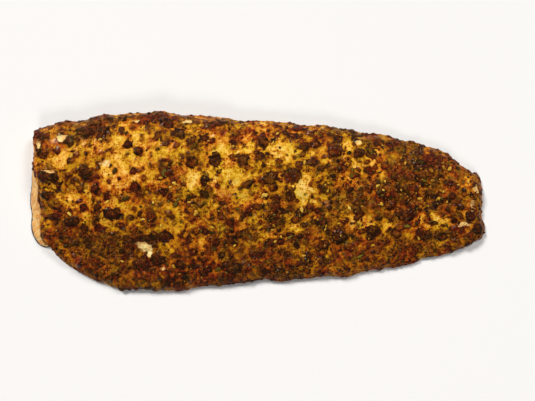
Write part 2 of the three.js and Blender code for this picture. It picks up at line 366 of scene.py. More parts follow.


# %% [markdown]
# ## Where the glaze has blistered and burnt
#
# The largest blisters are listed one by one, from the head end to the tail. Smaller ones are drawn at
# random, more of them where the side is browned. They are drawn by the same rule, from the same seed, as
# the bumps on the solid, so the two models agree. Further dark spots lie nearly flat in the glaze.

# %% Blisters and dark spots
LARGE_BLISTERS = [
    [-172, 69, 11, 6], [-187, 59, 6, 6], [-151, 69, 6, 6], [-207, 23, 11, 6],
    [-169, 27, 7, 9], [-159, 11, 5, 6], [-209, 5, 8, 4], [-184, -22, 9, 5],
    [-143, -14, 9, 7], [-128, 55, 5, 5], [-118, 48, 5, 5], [-78, 66, 8, 7],
    [-41, 40, 7, 7], [-51, 19, 5, 6], [5, 61, 5, 10], [12, 21, 8, 7],
    [36, 25, 9, 8], [77, 51, 7, 8], [101, 47, 6, 6], [81, -36, 9, 7],
    [148, -15, 11, 6], [213, -16, 5, 5], [197, -20, 4, 4], [-24, -68, 11, 6],
]
BLISTER_SEED = 7
SMALL_BLISTERS = 100
BLISTER_RADIUS = [2.5, 5.2]
BLISTER_STRETCH = [0.8, 1.25]
BLISTER_RISE = 0.42
BLISTER_SUNK = 0.15
BLISTER_GAP = 0.5
RIM_MARGIN = 0.035

# The chance that a small blister stays where it was drawn.
CHANCE_ANYWHERE = 0.4
MORE_TOWARDS_TAIL = 0.4
TAILWARDS = [-40, 190]  # from no more to all of it, along x
MORE_ALONG_BELLY = 0.5
BELLYWARDS = [40, 75]  # the same, below the middle
FEWER_ON_LOIN = 0.3
GOLDEN_LOIN = [-90, 45, 110, 35]  # centre, half length, half width

DARK_SPOTS = [
    [47, 54, 5, 5], [53, 38, 9, 4], [-41, 79, 8, 4], [114, 47, 6, 6], [163, 37, 7, 6], [115, -31, 8, 6],
    [-76, -65, 7, 5], [-91, -37, 8, 7], [30, -55, 4, 4], [50, -55, 4, 4], [20, -68, 5, 5], [60, -11, 4, 4],
    [41, -13, 5, 5], [-91, 77, 9, 5], [-64, 37, 6, 6], [-24, 57, 4, 4], [-14, 39, 7, 7], [3, 43, 5, 5],
    [-52, 6, 5, 5], [32, 4, 6, 6], [42, 76, 9, 4], [81, 63, 5, 5], [97, 63, 5, 3], [123, 60, 4, 4],
    [132, 58, 4, 4], [111, 30, 5, 5], [195, 4, 4, 4], [203, -7, 4, 4], [221, -29, 6, 5], [183, -36, 8, 4],
    [168, -36, 8, 6], [63, -22, 7, 4], [65, -45, 6, 6], [-172, -30, 4, 5], [-218, -5, 3, 3],
    [-98, -61, 7, 5], [-117, -66, 9, 7], [-110, -38, 10, 5], [-104, -17, 6, 6], [-67, -40, 4, 5],
    [-27, -22, 5, 4], [-42, -42, 5, 4], [-25, -40, 6, 5], [-52, -32, 4, 4], [207, 10, 3, 3],
    [169, -10, 3, 3], [-213, 46, 6, 5], [-215, 63, 4, 3], [-198, 50, 4, 4], [-205, -17, 8, 4],
    [-171, -8, 4, 4], [-157, -8, 4, 4], [-176, -1, 4, 3], [-119, 13, 5, 6], [-88, 27, 5, 4], [-92, 8, 6, 5],
    [-52, 61, 5, 3], [0, -7, 7, 4], [25, -11, 5, 4], [-9, 15, 4, 5], [37, 65, 5, 4], [101, -12, 6, 5],
    [138, -33, 5, 5], [-36, -56, 4, 4], [-82, -56, 5, 3], [-63, -52, 4, 3], [-50, -70, 5, 4],
    [-62, -67, 6, 4], [-54, -61, 4, 3], [-2, -55, 8, 4], [10, -73, 5, 3], [39, -45, 4, 4], [32, -36, 5, 3],
    [43, -37, 4, 3], [23, -42, 4, 4], [12, -44, 4, 4], [51, -64, 3, 3], [47, -25, 4, 3], [-9, -11, 3, 3],
    [101, 69, 6, 3], [17, 11, 4, 3], [15, 60, 3, 3], [-121, 29, 4, 4], [-135, 71, 3, 3], [-158, -28, 5, 4],
    [-135, -26, 5, 4], [-127, -40, 8, 4],
]


def number_draws(seed):
    """The same repeatable random numbers that place the bumps on the solid."""
    state = seed
    while True:
        state = (state * 1664525 + 1013904223) % 2**32
        yield state / 2**32


def within(x, y, patch):
    """1 in the middle of a patch, fading smoothly to 0 around it."""
    centre_x, centre_y, rx, ry = patch[:4]
    return np.exp(-(((x - centre_x) / rx) ** 2) - ((y - centre_y) / ry) ** 2)


def random_place(draw):
    """The next place away from the rim: its shares u and v, and the point there."""
    u = mix(RIM_MARGIN, 1 - RIM_MARGIN, next(draw))
    v = mix(RIM_MARGIN, 1 - RIM_MARGIN, next(draw))
    x, y = plan(u, v)
    return u, v, float(x), float(y)


def blister_chance(x, y):
    towards_tail = MORE_TOWARDS_TAIL * ease(*TAILWARDS, x)
    along_belly = MORE_ALONG_BELLY * ease(*BELLYWARDS, -y)
    return CHANCE_ANYWHERE + towards_tail + along_belly - FEWER_ON_LOIN * within(x, y, GOLDEN_LOIN)


def all_blisters():
    """Every blister as (x, y, half length, half width, turn)."""
    draw = number_draws(BLISTER_SEED)
    blisters = [(x, y, rx, ry, 0.0) for x, y, rx, ry in LARGE_BLISTERS]
    while len(blisters) < len(LARGE_BLISTERS) + SMALL_BLISTERS:
        _, _, x, y = random_place(draw)
        radius = mix(*BLISTER_RADIUS, next(draw) ** 2)
        stretch = mix(*BLISTER_STRETCH, next(draw))
        turn = math.pi * next(draw)
        wanted = next(draw) < blister_chance(x, y)
        clear = all(
            math.hypot(x - ox, y - oy) > BLISTER_GAP * (radius + rx + ry) for ox, oy, rx, ry, _ in blisters
        )
        if wanted and clear:
            blisters.append((x, y, radius * stretch, radius / stretch, turn))
    return blisters


blisters = all_blisters()
print(len(blisters), "blisters and", len(DARK_SPOTS), "dark spots")

# %% [markdown]
# ## What covers each place
#
# Seen close, the glaze is not one brown but three things. Smooth mustard runs from cream to amber. Over it
# lies a brown bed of crumbs with soft borders, in patches: little of it on the loin near the head, most of
# it towards the tail and along the belly. On both sit round spots, nearly black, each in a halo of amber.
# A mesh with a point to each millimetre can hold all three if the points carry distances to the edges
# instead of colours.

# %% Patches of cover, redness, herbs and pale flesh
# Each patch: centre, half length, half width, and how much more (or, where negative, less) of it there is.
COVER_PATCHES = [
    [-122, 50, 27, 18, -0.25], [-150, 36, 13, 10, -0.20], [-132, 21, 19, 12, -0.19],
    [-88, 50, 10, 9, -0.35], [-195, 38, 11, 10, -0.26], [-189, 0, 14, 9, -0.27], [-203, 66, 6, 6, -0.08],
    [-57, 15, 15, 9, -0.32], [-34, 48, 9, 13, -0.26], [-16, 14, 16, 14, -0.16], [22, 47, 16, 13, -0.29],
    [-9, 52, 9, 9, -0.26], [46, 11, 13, 18, -0.44], [63, 50, 6, 14, -0.18], [95, 55, 9, 9, -0.24],
    [113, 41, 14, 9, -0.42], [111, -23, 25, 8, -0.44], [175, -21, 20, 10, -0.47], [150, -36, 14, 8, -0.14],
    [208, 23, 9, 10, -0.30], [12, -33, 10, 7, -0.10], [-8, -21, 12, 9, -0.24], [122, 32, 8, 8, -0.32],
    [-165, 50, 12, 8, -0.16], [-90, -63, 8, 5, -0.12], [-87, -47, 4, 7, -0.20], [-60, -41, 14, 10, -0.34],
    [90, 18, 11, 9, -0.16], [-140, 76, 24, 6, -0.12], [-160, -22, 14, 10, -0.20], [206, -14, 13, 14, -0.22],
    [98, -22, 10, 8, -0.12], [-148, -12, 20, 11, -0.18], [-75, -24, 16, 8, -0.13], [-34, 30, 8, 8, -0.14],
    [146, -5, 12, 6, -0.26], [-112, -56, 7, 7, -0.16], [-165, 73, 24, 10, 0.30], [-207, 26, 11, 6, 0.22],
    [-168, 24, 9, 13, 0.20], [-196, -25, 14, 16, 0.20], [-135, -44, 36, 12, 0.26],
    [-108, -23, 16, 12, 0.10], [-56, -5, 20, 9, 0.14], [10, 26, 10, 11, 0.08], [20, -13, 13, 13, 0.20],
    [80, 20, 9, 22, 0.06], [77, 62, 9, 11, 0.22], [148, 14, 38, 30, 0.20], [190, 26, 20, 20, 0.20],
    [80, -36, 12, 9, 0.26], [222, -10, 5, 26, 0.20], [-10, -54, 50, 14, 0.08], [-40, -76, 60, 9, 0.26],
    [40, -66, 36, 8, 0.22], [-105, -60, 34, 14, 0.30], [-112, 69, 12, 6, 0.14], [62, -23, 17, 8, 0.26],
    [-62, 50, 9, 11, 0.24], [-217, 60, 7, 20, 0.20], [-110, 86, 66, 6, 0.28], [176, -4, 20, 8, 0.42],
    [-110, 32, 10, 8, 0.26], [-87, 30, 11, 9, 0.22], [-35, -24, 10, 8, 0.08], [-34, -58, 12, 8, 0.12],
    [-36, 69, 9, 6, 0.24], [-10, 31, 7, 7, 0.12], [106, -5, 19, 7, 0.24], [-217, -6, 6, 14, 0.20],
    [-204, 12, 10, 6, -0.14], [-100, -84, 60, 8, 0.30], [20, -86, 60, 6, 0.30], [-176, -40, 24, 12, 0.18],
    [-148, -70, 26, 14, 0.22], [-66, -71, 16, 8, 0.12], [4, -68, 16, 8, 0.14], [-90, -31, 9, 5, -0.14],
    [-46, -30, 9, 5, -0.12], [140, -34, 60, 7, -0.09], [41, 51, 9, 8, -0.10], [-53, 20, 12, 8, -0.18],
    [-160, 7, 9, 7, -0.16], [106, 30, 8, 7, -0.20], [36, 66, 9, 6, -0.18], [-48, 61, 8, 6, -0.18],
    [195, 6, 8, 8, 0.16], [-206, -16, 9, 8, 0.26], [-112, 44, 7, 7, 0.08], [68, -46, 8, 6, -0.12],
    [128, 60, 9, 4, 0.20], [120, 48, 8, 6, -0.34], [34, -38, 15, 10, -0.14], [-150, -27, 16, 6, -0.14],
    [-61, 31, 9, 7, 0.12], [199, 15, 8, 20, 0.10], [120, -5, 9, 7, 0.08], [68, -5, 8, 7, -0.08],
]
REDDISH_PATCHES = [
    [-40, -74, 120, 14, 0.30], [-136, 20, 24, 16, 0.20], [-155, 4, 46, 18, 0.26], [20, 66, 70, 10, 0.20],
    [-205, 26, 14, 14, 0.20], [215, -16, 16, 24, 0.15], [170, 44, 22, 10, 0.15], [-120, 58, 14, 8, 0.15],
    [-160, -50, 44, 18, 0.25], [-205, 60, 14, 18, 0.20], [-170, 50, 18, 8, 0.10], [-200, -10, 22, 20, 0.20],
    [55, -50, 30, 12, 0.30], [205, 10, 18, 34, 0.30], [150, 10, 44, 30, 0.25], [-20, 64, 16, 7, 0.30],
    [20, 45, 60, 30, -0.15], [100, 45, 40, 20, -0.10], [-60, -5, 30, 12, -0.20],
]
# Where few spots have formed: centre, half length, half width.
QUIET_PATCHES = [
    [208, -8, 22, 24], [206, 23, 11, 9], [-125, 45, 30, 20], [-195, 38, 12, 10], [-60, 14, 14, 9],
    [-16, 14, 14, 12],
]
# Each herby patch: centre, half length, half width.
HERBY_PATCHES = [
    [-65, 62, 4, 4], [-60, 54, 4, 3], [-82, 37, 5, 5], [-74, 20, 5, 5], [-80, 10, 4, 4], [-24, 18, 4, 4],
    [-58, -5, 5, 5], [-51, 4, 6, 5], [40, 44, 3, 3], [5, -7, 7, 3], [26, -12, 5, 4], [41, -12, 5, 4],
    [74, 20, 4, 6], [81, 2, 4, 4], [100, 10, 5, 4], [123, 18, 6, 5], [133, 25, 5, 4], [146, 18, 5, 4],
    [184, 28, 4, 3], [123, -8, 4, 4], [100, -24, 5, 4], [-209, 20, 7, 4], [-187, 60, 6, 5],
    [-172, 14, 7, 4], [-36, -28, 6, 5], [-20, -16, 6, 4], [156, 44, 6, 5], [170, 30, 5, 4], [60, 30, 4, 4],
    [-100, -34, 6, 4],
]
# Where the glaze has come off: centre, half length, half width.
PALE_SPOTS = [
    [-194, 63, 4.5, 4.5], [-112, -46, 8.5, 3.4], [-109.5, -49, 6.5, 5], [-107.5, -54, 3.4, 4],
    [-149, 35, 6, 4], [-217, 55, 3, 4], [206, -24, 7, 3], [216, -4, 2.5, 5], [220, 13, 2.5, 5],
    [100, 59, 5, 3], [-70, 81, 5, 2.5], [-121, 81, 6, 2], [-93, -68, 3, 2], [-44, 64, 3, 2],
    [-207, 29, 8, 1.4],
]
PATCH_WAVER = 5  # how far the border of a patch wavers, in millimetres
PATCH_WAVER_SIZE = 12


def patch_sum(x, y, patches):
    """The sum of patches whose borders waver."""
    x = x + PATCH_WAVER * smooth_noise(x, y, PATCH_WAVER_SIZE, 11)
    y = y + PATCH_WAVER * smooth_noise(x, y, PATCH_WAVER_SIZE, 12)
    return sum(patch[4] * within(x, y, patch) for patch in patches)


def oval_distance(x, y, centre_x, centre_y, rx, ry, turn=0.0):
    """Distance from an oval's middle as a share of its radius."""
    dx = x - centre_x
    dy = y - centre_y
    along = dx * math.cos(turn) + dy * math.sin(turn)
    across = dy * math.cos(turn) - dx * math.sin(turn)
    return np.hypot(along / rx, across / ry)


for title, patches in (("cover", COVER_PATCHES), ("reddish", REDDISH_PATCHES), ("herby", HERBY_PATCHES)):
    print(title, "patches:", len(patches))

# %% [markdown]
# ## Where the small things lie
#
# Herbs, garlic, crumbs and spice are placed before the glaze is coloured, because it browns faster right
# beside them. The largest bits of garlic are named one by one, the next ones lie where the solid has them,
# and the rest are thrown at random, with more chance of landing where the side is well seasoned or
# charred.

# %% Places for the small things
NAMED_GARLIC = [
    [-183, 44, 2.2], [-148, -2, 2.0], [-95, 22, 1.6], [-82, 17, 2.3], [-86, 32, 1.3], [-68, -2, 1.6],
    [-75, 41, 1.3], [-95, -25, 1.7], [-60, -13, 2.6], [-50, -20, 1.6], [7, 4, 3.0], [70, 9, 1.6],
    [123, -4, 1.8], [139, 17, 1.8], [174, 20, 1.7], [162, 2, 2.5], [170, -5, 1.9], [181, 2, 2.2],
    [186, 38, 1.9],
]
GARLIC_SEED = 21
GARLIC_BITS = 30
GARLIC_RADIUS = [1.5, 2.5]
HERB_SEED = 33
HERB_BITS = 30
HERB_RADIUS = [1.6, 2.8]
BIT_STRETCH = [1.3, 0.75]  # a bit's half length and half width over its radius
SEASONED = [[145, 15, 55, 35], [-70, 15, 35, 40], [-20, -20, 50, 30], [60, 0, 40, 50]]
CHARRED = [
    [220, -10, 12, 60], [-20, -78, 140, 10], [-165, 73, 22, 10], [-206, 20, 12, 14], [80, -38, 12, 8],
    [-165, 22, 9, 14], [-184, -22, 10, 8], [-143, -14, 10, 8], [-122, 52, 12, 8], [-41, 40, 7, 7],
    [-51, 19, 5, 5], [-92, -37, 8, 7], [-100, -62, 8, 6], [-77, -65, 8, 6], [-17, -68, 12, 7],
    [197, -20, 6, 6], [-78, 66, 6, 6], [148, -15, 6, 6], [115, -31, 5, 5], [176, -34, 14, 6],
]


def nearest_place(x, y, radius):
    """The place of a named bit: the shares u and v of the grid point under it, its radius and a turn."""
    i, j = np.unravel_index(np.argmin((grid_x - x) ** 2 + (grid_y - y) ** 2), grid_x.shape)
    return us[i], vs[j], radius, (0.7 * x + 1.3 * y) % math.pi


def solid_places(seed, count, radii, others):
    """The places of the bits that the solid also has, and their ovals, to keep later ones clear."""
    draw = number_draws(seed)
    places = []
    ovals = []
    while len(places) < count:
        u, v, x, y = random_place(draw)
        radius = mix(*radii, next(draw))
        turn = math.pi * next(draw)
        near = (math.hypot(x - o[0], y - o[1]) <= radius + min(o[2], o[3]) for o in others + ovals)
        if not any(near):
            places.append((u, v, radius, turn))
            ovals.append((x, y, radius * BIT_STRETCH[0], radius * BIT_STRETCH[1]))
    return places, ovals


def sprinkled(seed, count, radii, patches, everywhere):
    """More places at random, thickest inside the patches."""
    rng = np.random.default_rng(seed)
    places = []
    while len(places) < count:
        u, v = rng.uniform(RIM_MARGIN / 2, 1 - RIM_MARGIN / 2, 2)
        x, y = plan(u, v)
        chance = everywhere + sum(within(x, y, patch) for patch in patches)
        radius = rng.uniform(*radii)
        turn = rng.uniform(0, 2 * math.pi)
        if rng.random() < chance:
            places.append((u, v, radius, turn))
    return places


oval_list = [blister[:4] for blister in blisters]
garlic_places, garlic_ovals = solid_places(GARLIC_SEED, GARLIC_BITS, GARLIC_RADIUS, oval_list)
herb_places, _ = solid_places(HERB_SEED, HERB_BITS, HERB_RADIUS, oval_list + garlic_ovals)
garlic_places += [nearest_place(*bit) for bit in NAMED_GARLIC]
garlic_places += sprinkled(seed=81, count=80, radii=[0.7, 1.4], patches=SEASONED, everywhere=0.12)
herb_places += sprinkled(seed=82, count=110, radii=[0.9, 1.7], patches=SEASONED, everywhere=0.08)
crumb_places = sprinkled(seed=83, count=260, radii=[0.6, 1.8], patches=CHARRED, everywhere=0.06)
grain_places = sprinkled(seed=84, count=800, radii=[0.3, 0.65], patches=SEASONED, everywhere=0.15)
print(len(garlic_places), "bits of garlic,", len(herb_places), "of herb,", len(crumb_places), "crumbs")

# %% [markdown]
# ## Spots in the glaze
#
# A spot needs an edge, a shade and a height. Small spots come from scattered noise, in four sizes, and
# large ones from the blisters and dark spots above. Each place keeps the distance to the edge of the
# nearest spot, how burnt that spot is, and how far the glaze has risen there, so that every dark spot is
# also a bump.

# %% Spots
# Lattice step, radius and height of the unnamed spots, and the share of the cells that have one.
SPOT_LAYERS = [(15, 4.4, 1.2, 0.3), (9.5, 3.1, 1.0, 0.6), (6.2, 2.0, 0.8, 0.4), (4.2, 1.3, 0.6, 0.3)]
SPOT_SIZE = [0.65, 1.15]  # the smallest and the largest share of that radius
SPOT_EDGE_KNOBS = 0.3
SPOTS_COME_WITH = [-1.1, 0.4]  # from no spots to all of them, by how thick the bed of crumbs is
COARSE_SHARE = 0.3  # how much coarse noise also counts there
THICK_BED = [0.3, 0.9]  # the cover from which a bed hides spots, and at which it hides most
BROWN_BED = [0.2, 0.9]  # the same for where spots are burnt darker
SPOT_BURNT = [0.70, 0.94]  # how burnt a spot is, on the glaze's road from cream, 0, to black, 1
SPOT_BURNT_IN_BED = 0.16  # how much more in a thick bed of crumbs
NAMED_BURNT = [0.96, 1.02]  # a named spot's, outside and inside the charred patches
QUIETER = 0.85  # the share of the spots that a quiet patch loses
FEWER_IN_BED = 0.3  # the share that a thick bed of crumbs hides
BLISTER_SHARE = 0.9  # how much of a blister is burnt
BLISTER_EDGE_KNOBS = 0.22  # how far small knobs and larger bulges move a blister's edge
BLISTER_EDGE_BULGES = 0.2
ROUND_BELOW = 3.5  # spots up to this radius keep a rounder edge
UNEVEN_ABOVE = 7  # those above this one are as uneven as they get
ROUNDER = 0.45  # how uneven the small ones still are
FLAT_RISE = 0.15  # a dark spot's rise; a blister has more
FAR = 9.0  # stands for "no edge near"
BURNT_ELSEWHERE = 0.8  # where no spot is near


def further(number, factor):
    """Another random number from 0 to 1, made out of a first one."""
    return (number * factor) % 1


def small_spots(x, y, cover, coarse, knobs):
    """The edges, burntness and rise of the unnamed spots, layer by layer."""
    quiet = np.minimum(1, sum(within(x, y, patch) for patch in QUIET_PATCHES))
    chance = ease(*SPOTS_COME_WITH, cover + COARSE_SHARE * coarse)
    chance = chance * (1 - FEWER_IN_BED * ease(*THICK_BED, cover))
    for layer, (spacing, radius, height, share) in enumerate(SPOT_LAYERS):
        away, number = scattered_points(x, y, spacing, 41 + layer)
        size = radius * mix(*SPOT_SIZE, further(number, 7.3))
        wanted = number < share * chance * (1 - QUIETER * quiet)
        edge = np.where(wanted, away - size * (1 + SPOT_EDGE_KNOBS * knobs), FAR)
        burnt = mix(*SPOT_BURNT, further(number, 13.7)) + SPOT_BURNT_IN_BED * ease(*BROWN_BED, cover)
        yield edge, burnt, height * wanted * np.sqrt(np.clip(1 - (away / size) ** 2, 0, 1))


def large_spots(x, y, knobs):
    """The same for the blisters and the dark spots, one by one."""
    bulges = smooth_noise(x, y, size=7, seed=39)
    marks = [(*blister, BLISTER_RISE) for blister in blisters]
    marks += [(*dark, 0.0, FLAT_RISE) for dark in DARK_SPOTS]
    for k, (mark_x, mark_y, rx, ry, turn, rise) in enumerate(marks):
        radius = math.sqrt(rx * ry)
        away = oval_distance(x, y, mark_x, mark_y, rx, ry, turn)
        uneven = mix(ROUNDER, 1, float(ease(ROUND_BELOW, UNEVEN_ABOVE, radius)))
        waves = BLISTER_EDGE_KNOBS * knobs + BLISTER_EDGE_BULGES * bulges
        edge = (away - BLISTER_SHARE + uneven * waves) * radius
        if len(LARGE_BLISTERS) <= k < len(blisters):
            burnt = mix(*SPOT_BURNT, further(k, 0.618))
        else:
            burnt = mix(*NAMED_BURNT, min(1, sum(within(mark_x, mark_y, patch) for patch in CHARRED)))
        yield edge, burnt, rise * radius * (np.sqrt(np.clip(1 - away**2, 0, 1)) - BLISTER_SUNK)


def spot_fields(x, y, cover, coarse, knobs):
    """Distance to the nearest spot's edge, how burnt that spot is, and how far the glaze has risen."""
    spot = np.full_like(x, FAR)
    burnt = np.full_like(x, BURNT_ELSEWHERE)
    lift = np.zeros_like(x)
    spots = [*small_spots(x, y, cover, coarse, knobs), *large_spots(x, y, knobs)]
    for edge, own, rise in spots:
        burnt = np.where(edge < spot, own, burnt)
        spot = np.minimum(spot, edge)
        lift = np.maximum(lift, rise)
    return spot, burnt, lift


# %% [markdown]
# ## Fields of the glaze
#
# One function answers, for any place on the top, what lies there. It first measures some ingredients, such
# as noise of several sizes or how near the belly is, and then adds them up to fields. How much of each
# ingredient goes into a field is a recipe, so a change of taste is a change of one number. The same
# ingredients feed the material as colour and the mesh as relief.

# %% Recipes of the fields
WOBBLES = [(1.1, 6), (0.6, 2.6)]  # strength and size of what makes round borders uneven
KNOBS = [(1.0, 3.2), (0.6, 1.9)]
HALO_WIDTH = 3.6  # the glaze is browner this far around a spot
BIT_HALO_WIDTH = 1.8
CRUMB_STEP = 4.3
CRUMB_RADIUS = 2.7
STREAKED_X = [-95, -115]  # the glaze is drawn into streaks along the back, more and more towards the head
STREAKED_Y = [58, 72]
STREAK_LENGTH = 9
STREAK_WIDTH = 1.3
BARE_EDGE_KNOBS = 0.3
BROWNED_BARE = -0.35  # towards the tail the bare flesh has browned too, and shows this little at most
HERBS_SHOW = 1.5  # above 1, so that the middle of a herby patch is all olive

RECIPES = {
    # How much of a brown bed of crumbs lies on the glaze.
    "cover": {
        "always": -0.22, "patches": 1.95, "tail half": 0.30, "medium": 0.24, "small": 0.32, "fine": 0.18,
    },
    # The tone of that bed.
    "cover_tone": {
        "always": 0.60, "patches": 0.22, "belly edge": -0.03, "coarse": 0.06, "small": 0.12,
        "crumb's own": 0.12, "belly crumb's own": 0.14, "crown": 0.08, "belly crown": 0.12,
        "near a spot": 0.09, "near a bit": 0.132,
    },
    # The tone of the smooth glaze, from cream to burnt.
    "tone": {
        "always": 0.37, "patches": 0.9, "tail third": 0.08, "belly half": 0.12, "streaks": 0.16,
        "coarse": 0.08, "medium": 0.10, "small": 0.11, "fine": 0.14,
        "near a spot": 0.15, "near a bit": 0.22,
    },
    # A large spot's middle is made paler than its rim: painted light on the dome's top and painted shade at
    # its foot.
    "spot_tone": {"always": 0.03, "burnt": 1, "painted light on a spot's middle": -0.17, "knobs": 0.10},
    # How far the colour leans from golden to reddish.
    "reddish": {
        "always": 0.36, "red patches": 0.8, "red coarse": 0.45, "red fine": 0.35, "crumb's red": 0.3,
        "on a spot": 0.2,
    },
    # Millimetres above the smooth top.
    "relief": {
        "bed crown": 0.7, "bed small": 0.4, "medium": 0.3, "fine": 0.2, "streaks": 0.25, "scraped": -0.5,
        "lift": 1, "uneven lift": 0.25,
    },
}


def cooked(recipe, ingredients):
    """The ingredients of a recipe, each times its amount, added up."""
    return sum(amount * ingredients[name] for name, amount in RECIPES[recipe].items())


def crumb_bed(x, y):
    """A bed of crumbs: 0 in the creases and 1 on the crowns, and a random number for each crumb."""
    away, number = scattered_points(x, y, CRUMB_STEP, 45)
    return np.sqrt(np.clip(1 - (away / CRUMB_RADIUS) ** 2, 0, 1)), number


def bit_distance(x, y):
    """Distance to the edge of the nearest bit of garlic or herb."""
    nearest = np.full_like(x, FAR)
    for u, v, radius, _ in garlic_places + herb_places:
        bit_x, bit_y = plan(u, v)
        nearest = np.minimum(nearest, np.hypot(x - bit_x, y - bit_y) - radius)
    return nearest


def bare_distance(x, y, knobs, towards_tail):
    """Distance to the edge of the nearest spot without glaze."""
    bare = np.full_like(x, FAR)
    for centre_x, centre_y, rx, ry in PALE_SPOTS:
        away = oval_distance(x, y, centre_x, centre_y, rx, ry)
        bare = np.minimum(bare, (away - BLISTER_SHARE + BARE_EDGE_KNOBS * knobs) * math.sqrt(rx * ry))
    return np.maximum(bare, mix(-FAR, BROWNED_BARE, towards_tail))


# %% All fields together
def glaze_fields(x, y):
    """Numbers that tell the glaze material what lies where, and the relief, in millimetres."""
    wobble_x = x + layered_noise(x, y, WOBBLES, seed=21)
    wobble_y = y + layered_noise(x, y, WOBBLES, seed=23)
    knobs = layered_noise(x, y, KNOBS, seed=37)
    crown, number = crumb_bed(wobble_x, wobble_y)
    belly_edge = ease(-30, -60, y)
    shoulder = ease(*STREAKED_X, x) * ease(*STREAKED_Y, y)
    has = {
        "always": 1,
        "knobs": knobs,
        "coarse": smooth_noise(x, y, size=22, seed=31),
        "medium": smooth_noise(wobble_x, wobble_y, size=9, seed=32),
        "small": smooth_noise(wobble_x, wobble_y, size=4.5, seed=33),
        "fine": smooth_noise(x, y, size=2.4, seed=34),
        "streaks": shoulder * smooth_noise(x / STREAK_LENGTH, y / STREAK_WIDTH, size=1, seed=36),
        "patches": patch_sum(x, y, COVER_PATCHES),
        "tail half": ease(-60, 150, x),
        "tail third": ease(20, 150, x),
        "belly half": ease(-5, -40, y),
        "belly edge": belly_edge,
        "crumb's own": number - 0.5,
        "belly crumb's own": belly_edge * (number - 0.5),
        "crown": crown - 0.6,
        "belly crown": belly_edge * (crown - 0.6),
        "red patches": patch_sum(x, y, REDDISH_PATCHES),
        "red coarse": smooth_noise(x, y, size=12, seed=51),
        "red fine": smooth_noise(x, y, size=5, seed=52),
        "near a bit": ease(BIT_HALO_WIDTH, 0, bit_distance(x, y)),
    }
    cover = cooked("cover", has)
    covered = ease(-0.3, 0.3, cover)
    has["bed crown"] = covered * crown
    has["bed small"] = covered * has["small"]
    has["crumb's red"] = covered * (further(number, 5.3) - 0.5)

    spot, burnt, lift = spot_fields(wobble_x, wobble_y, cover, has["coarse"], knobs)
    has["burnt"] = burnt
    has["near a spot"] = ease(HALO_WIDTH, 0, spot)
    has["on a spot"] = ease(0.3, -1.0, spot)
    # Painted light and shade: 1 in the middle of a large spot, whose middle is made paler than its rim.
    has["painted light on a spot's middle"] = ease(-0.4, -2.6, spot)
    has["lift"] = lift
    has["uneven lift"] = lift * (has["fine"] + knobs)

    bare = bare_distance(wobble_x, wobble_y, knobs, ease(120, 190, x))
    has["scraped"] = ease(0.5, -1.0, bare)

    herby = sum(within(wobble_x, wobble_y, patch) for patch in HERBY_PATCHES)
    olive_smears = ease(0.1, 0.7, smooth_noise(x, y, size=7, seed=53))
    olive_crumbs = ease(0.8, 0.9, further(number, 9.1))
    olive_bed = np.maximum(olive_smears, olive_crumbs) * ease(-0.3, 0.2, cover)
    olive = np.maximum(olive_bed, np.minimum(HERBS_SHOW * herby, 1))
    fields = {name: cooked(name, has) for name in RECIPES}
    return {**fields, "spot": spot, "bare": bare, "olive": olive}


print("fields of the glaze:", [*RECIPES, "spot", "bare", "olive"])

# %% [markdown]
# ## The crust
#
# The glaze is a skin of its own, a millimetre thick, with a ragged hem that hangs over the rim. It could
# be painted onto the flesh, but from the side a real edge tells far more. The mesh is the top grid plus
# rings that go down the wall as far as the hem, which is short at the head cut and long at the belly and
# the tail. The last ring tucks under, and the underside closes onto a line of points along the middle.
#
# Fields worked out from x and y alone would run down a steep rim in long smears. So each point first gets
# the place where it would lie if the glaze were peeled off and pressed flat, and the fields are worked out
# for that place.

# %% Mesh helpers
SPINE_START = 20  # the closing line of points starts and ends this many columns from the cuts


def make_piece(name, points, faces, fields=None):
    """A smooth-shaded mesh object from points in millimetres, with one number a point for each field."""
    mesh = bpy.data.meshes.new(name)
    mesh.from_pydata(((points + SHIFT) * MM).tolist(), [], faces)
    for field, values in (fields or {}).items():
        padded = np.zeros(len(points), np.float32)
        padded[: len(values)] = values
        mesh.attributes.new(field, "FLOAT", "POINT").data.foreach_set("value", padded)
    mesh.shade_smooth()
    piece = bpy.data.objects.new(name, mesh)
    bpy.context.scene.collection.objects.link(piece)
    print(name, len(points), "points,", len(faces), "faces")
    return piece


def ring_faces(upper, lower):
    """Quads between two rings of point numbers, facing outwards."""
    return np.stack([upper, lower, np.roll(lower, -1), np.roll(upper, -1)], axis=1)


def stacked_rings(count):
    """Quads between count rings whose points follow one another."""
    rings = np.arange(count * STATIONS).reshape(count, STATIONS)
    return np.concatenate([ring_faces(rings[k], rings[k + 1]) for k in range(count - 1)])


def point_normals(points, quads):
    a, b, c, d = (points[quads[:, k]] for k in range(4))
    face = np.cross(c - a, d - b)
    total = np.zeros_like(points)
    for k in range(4):
        np.add.at(total, quads[:, k], face)
    return total / np.linalg.norm(total, axis=1, keepdims=True)


def spine_points(height):
    """A line of points at one height along the middle of the side."""
    u = us[SPINE_START : COLUMNS - SPINE_START + 1]
    x, y = plan(u, np.full_like(u, 0.5))
    return np.stack([x, y, np.full_like(u, height)], axis=1)


def closing_faces(ring, first, up):
    """Faces that close a ring onto the line of spine points numbered from first."""
    spine = first + np.clip(station_i, SPINE_START, COLUMNS - SPINE_START) - SPINE_START
    faces = []
    for k in range(STATIONS):
        after = (k + 1) % STATIONS
        face = [int(ring[k]), int(ring[after]), int(spine[after])]
        if spine[after] != spine[k]:
            face.append(int(spine[k]))
        faces.append(face if up else face[::-1])
    return faces


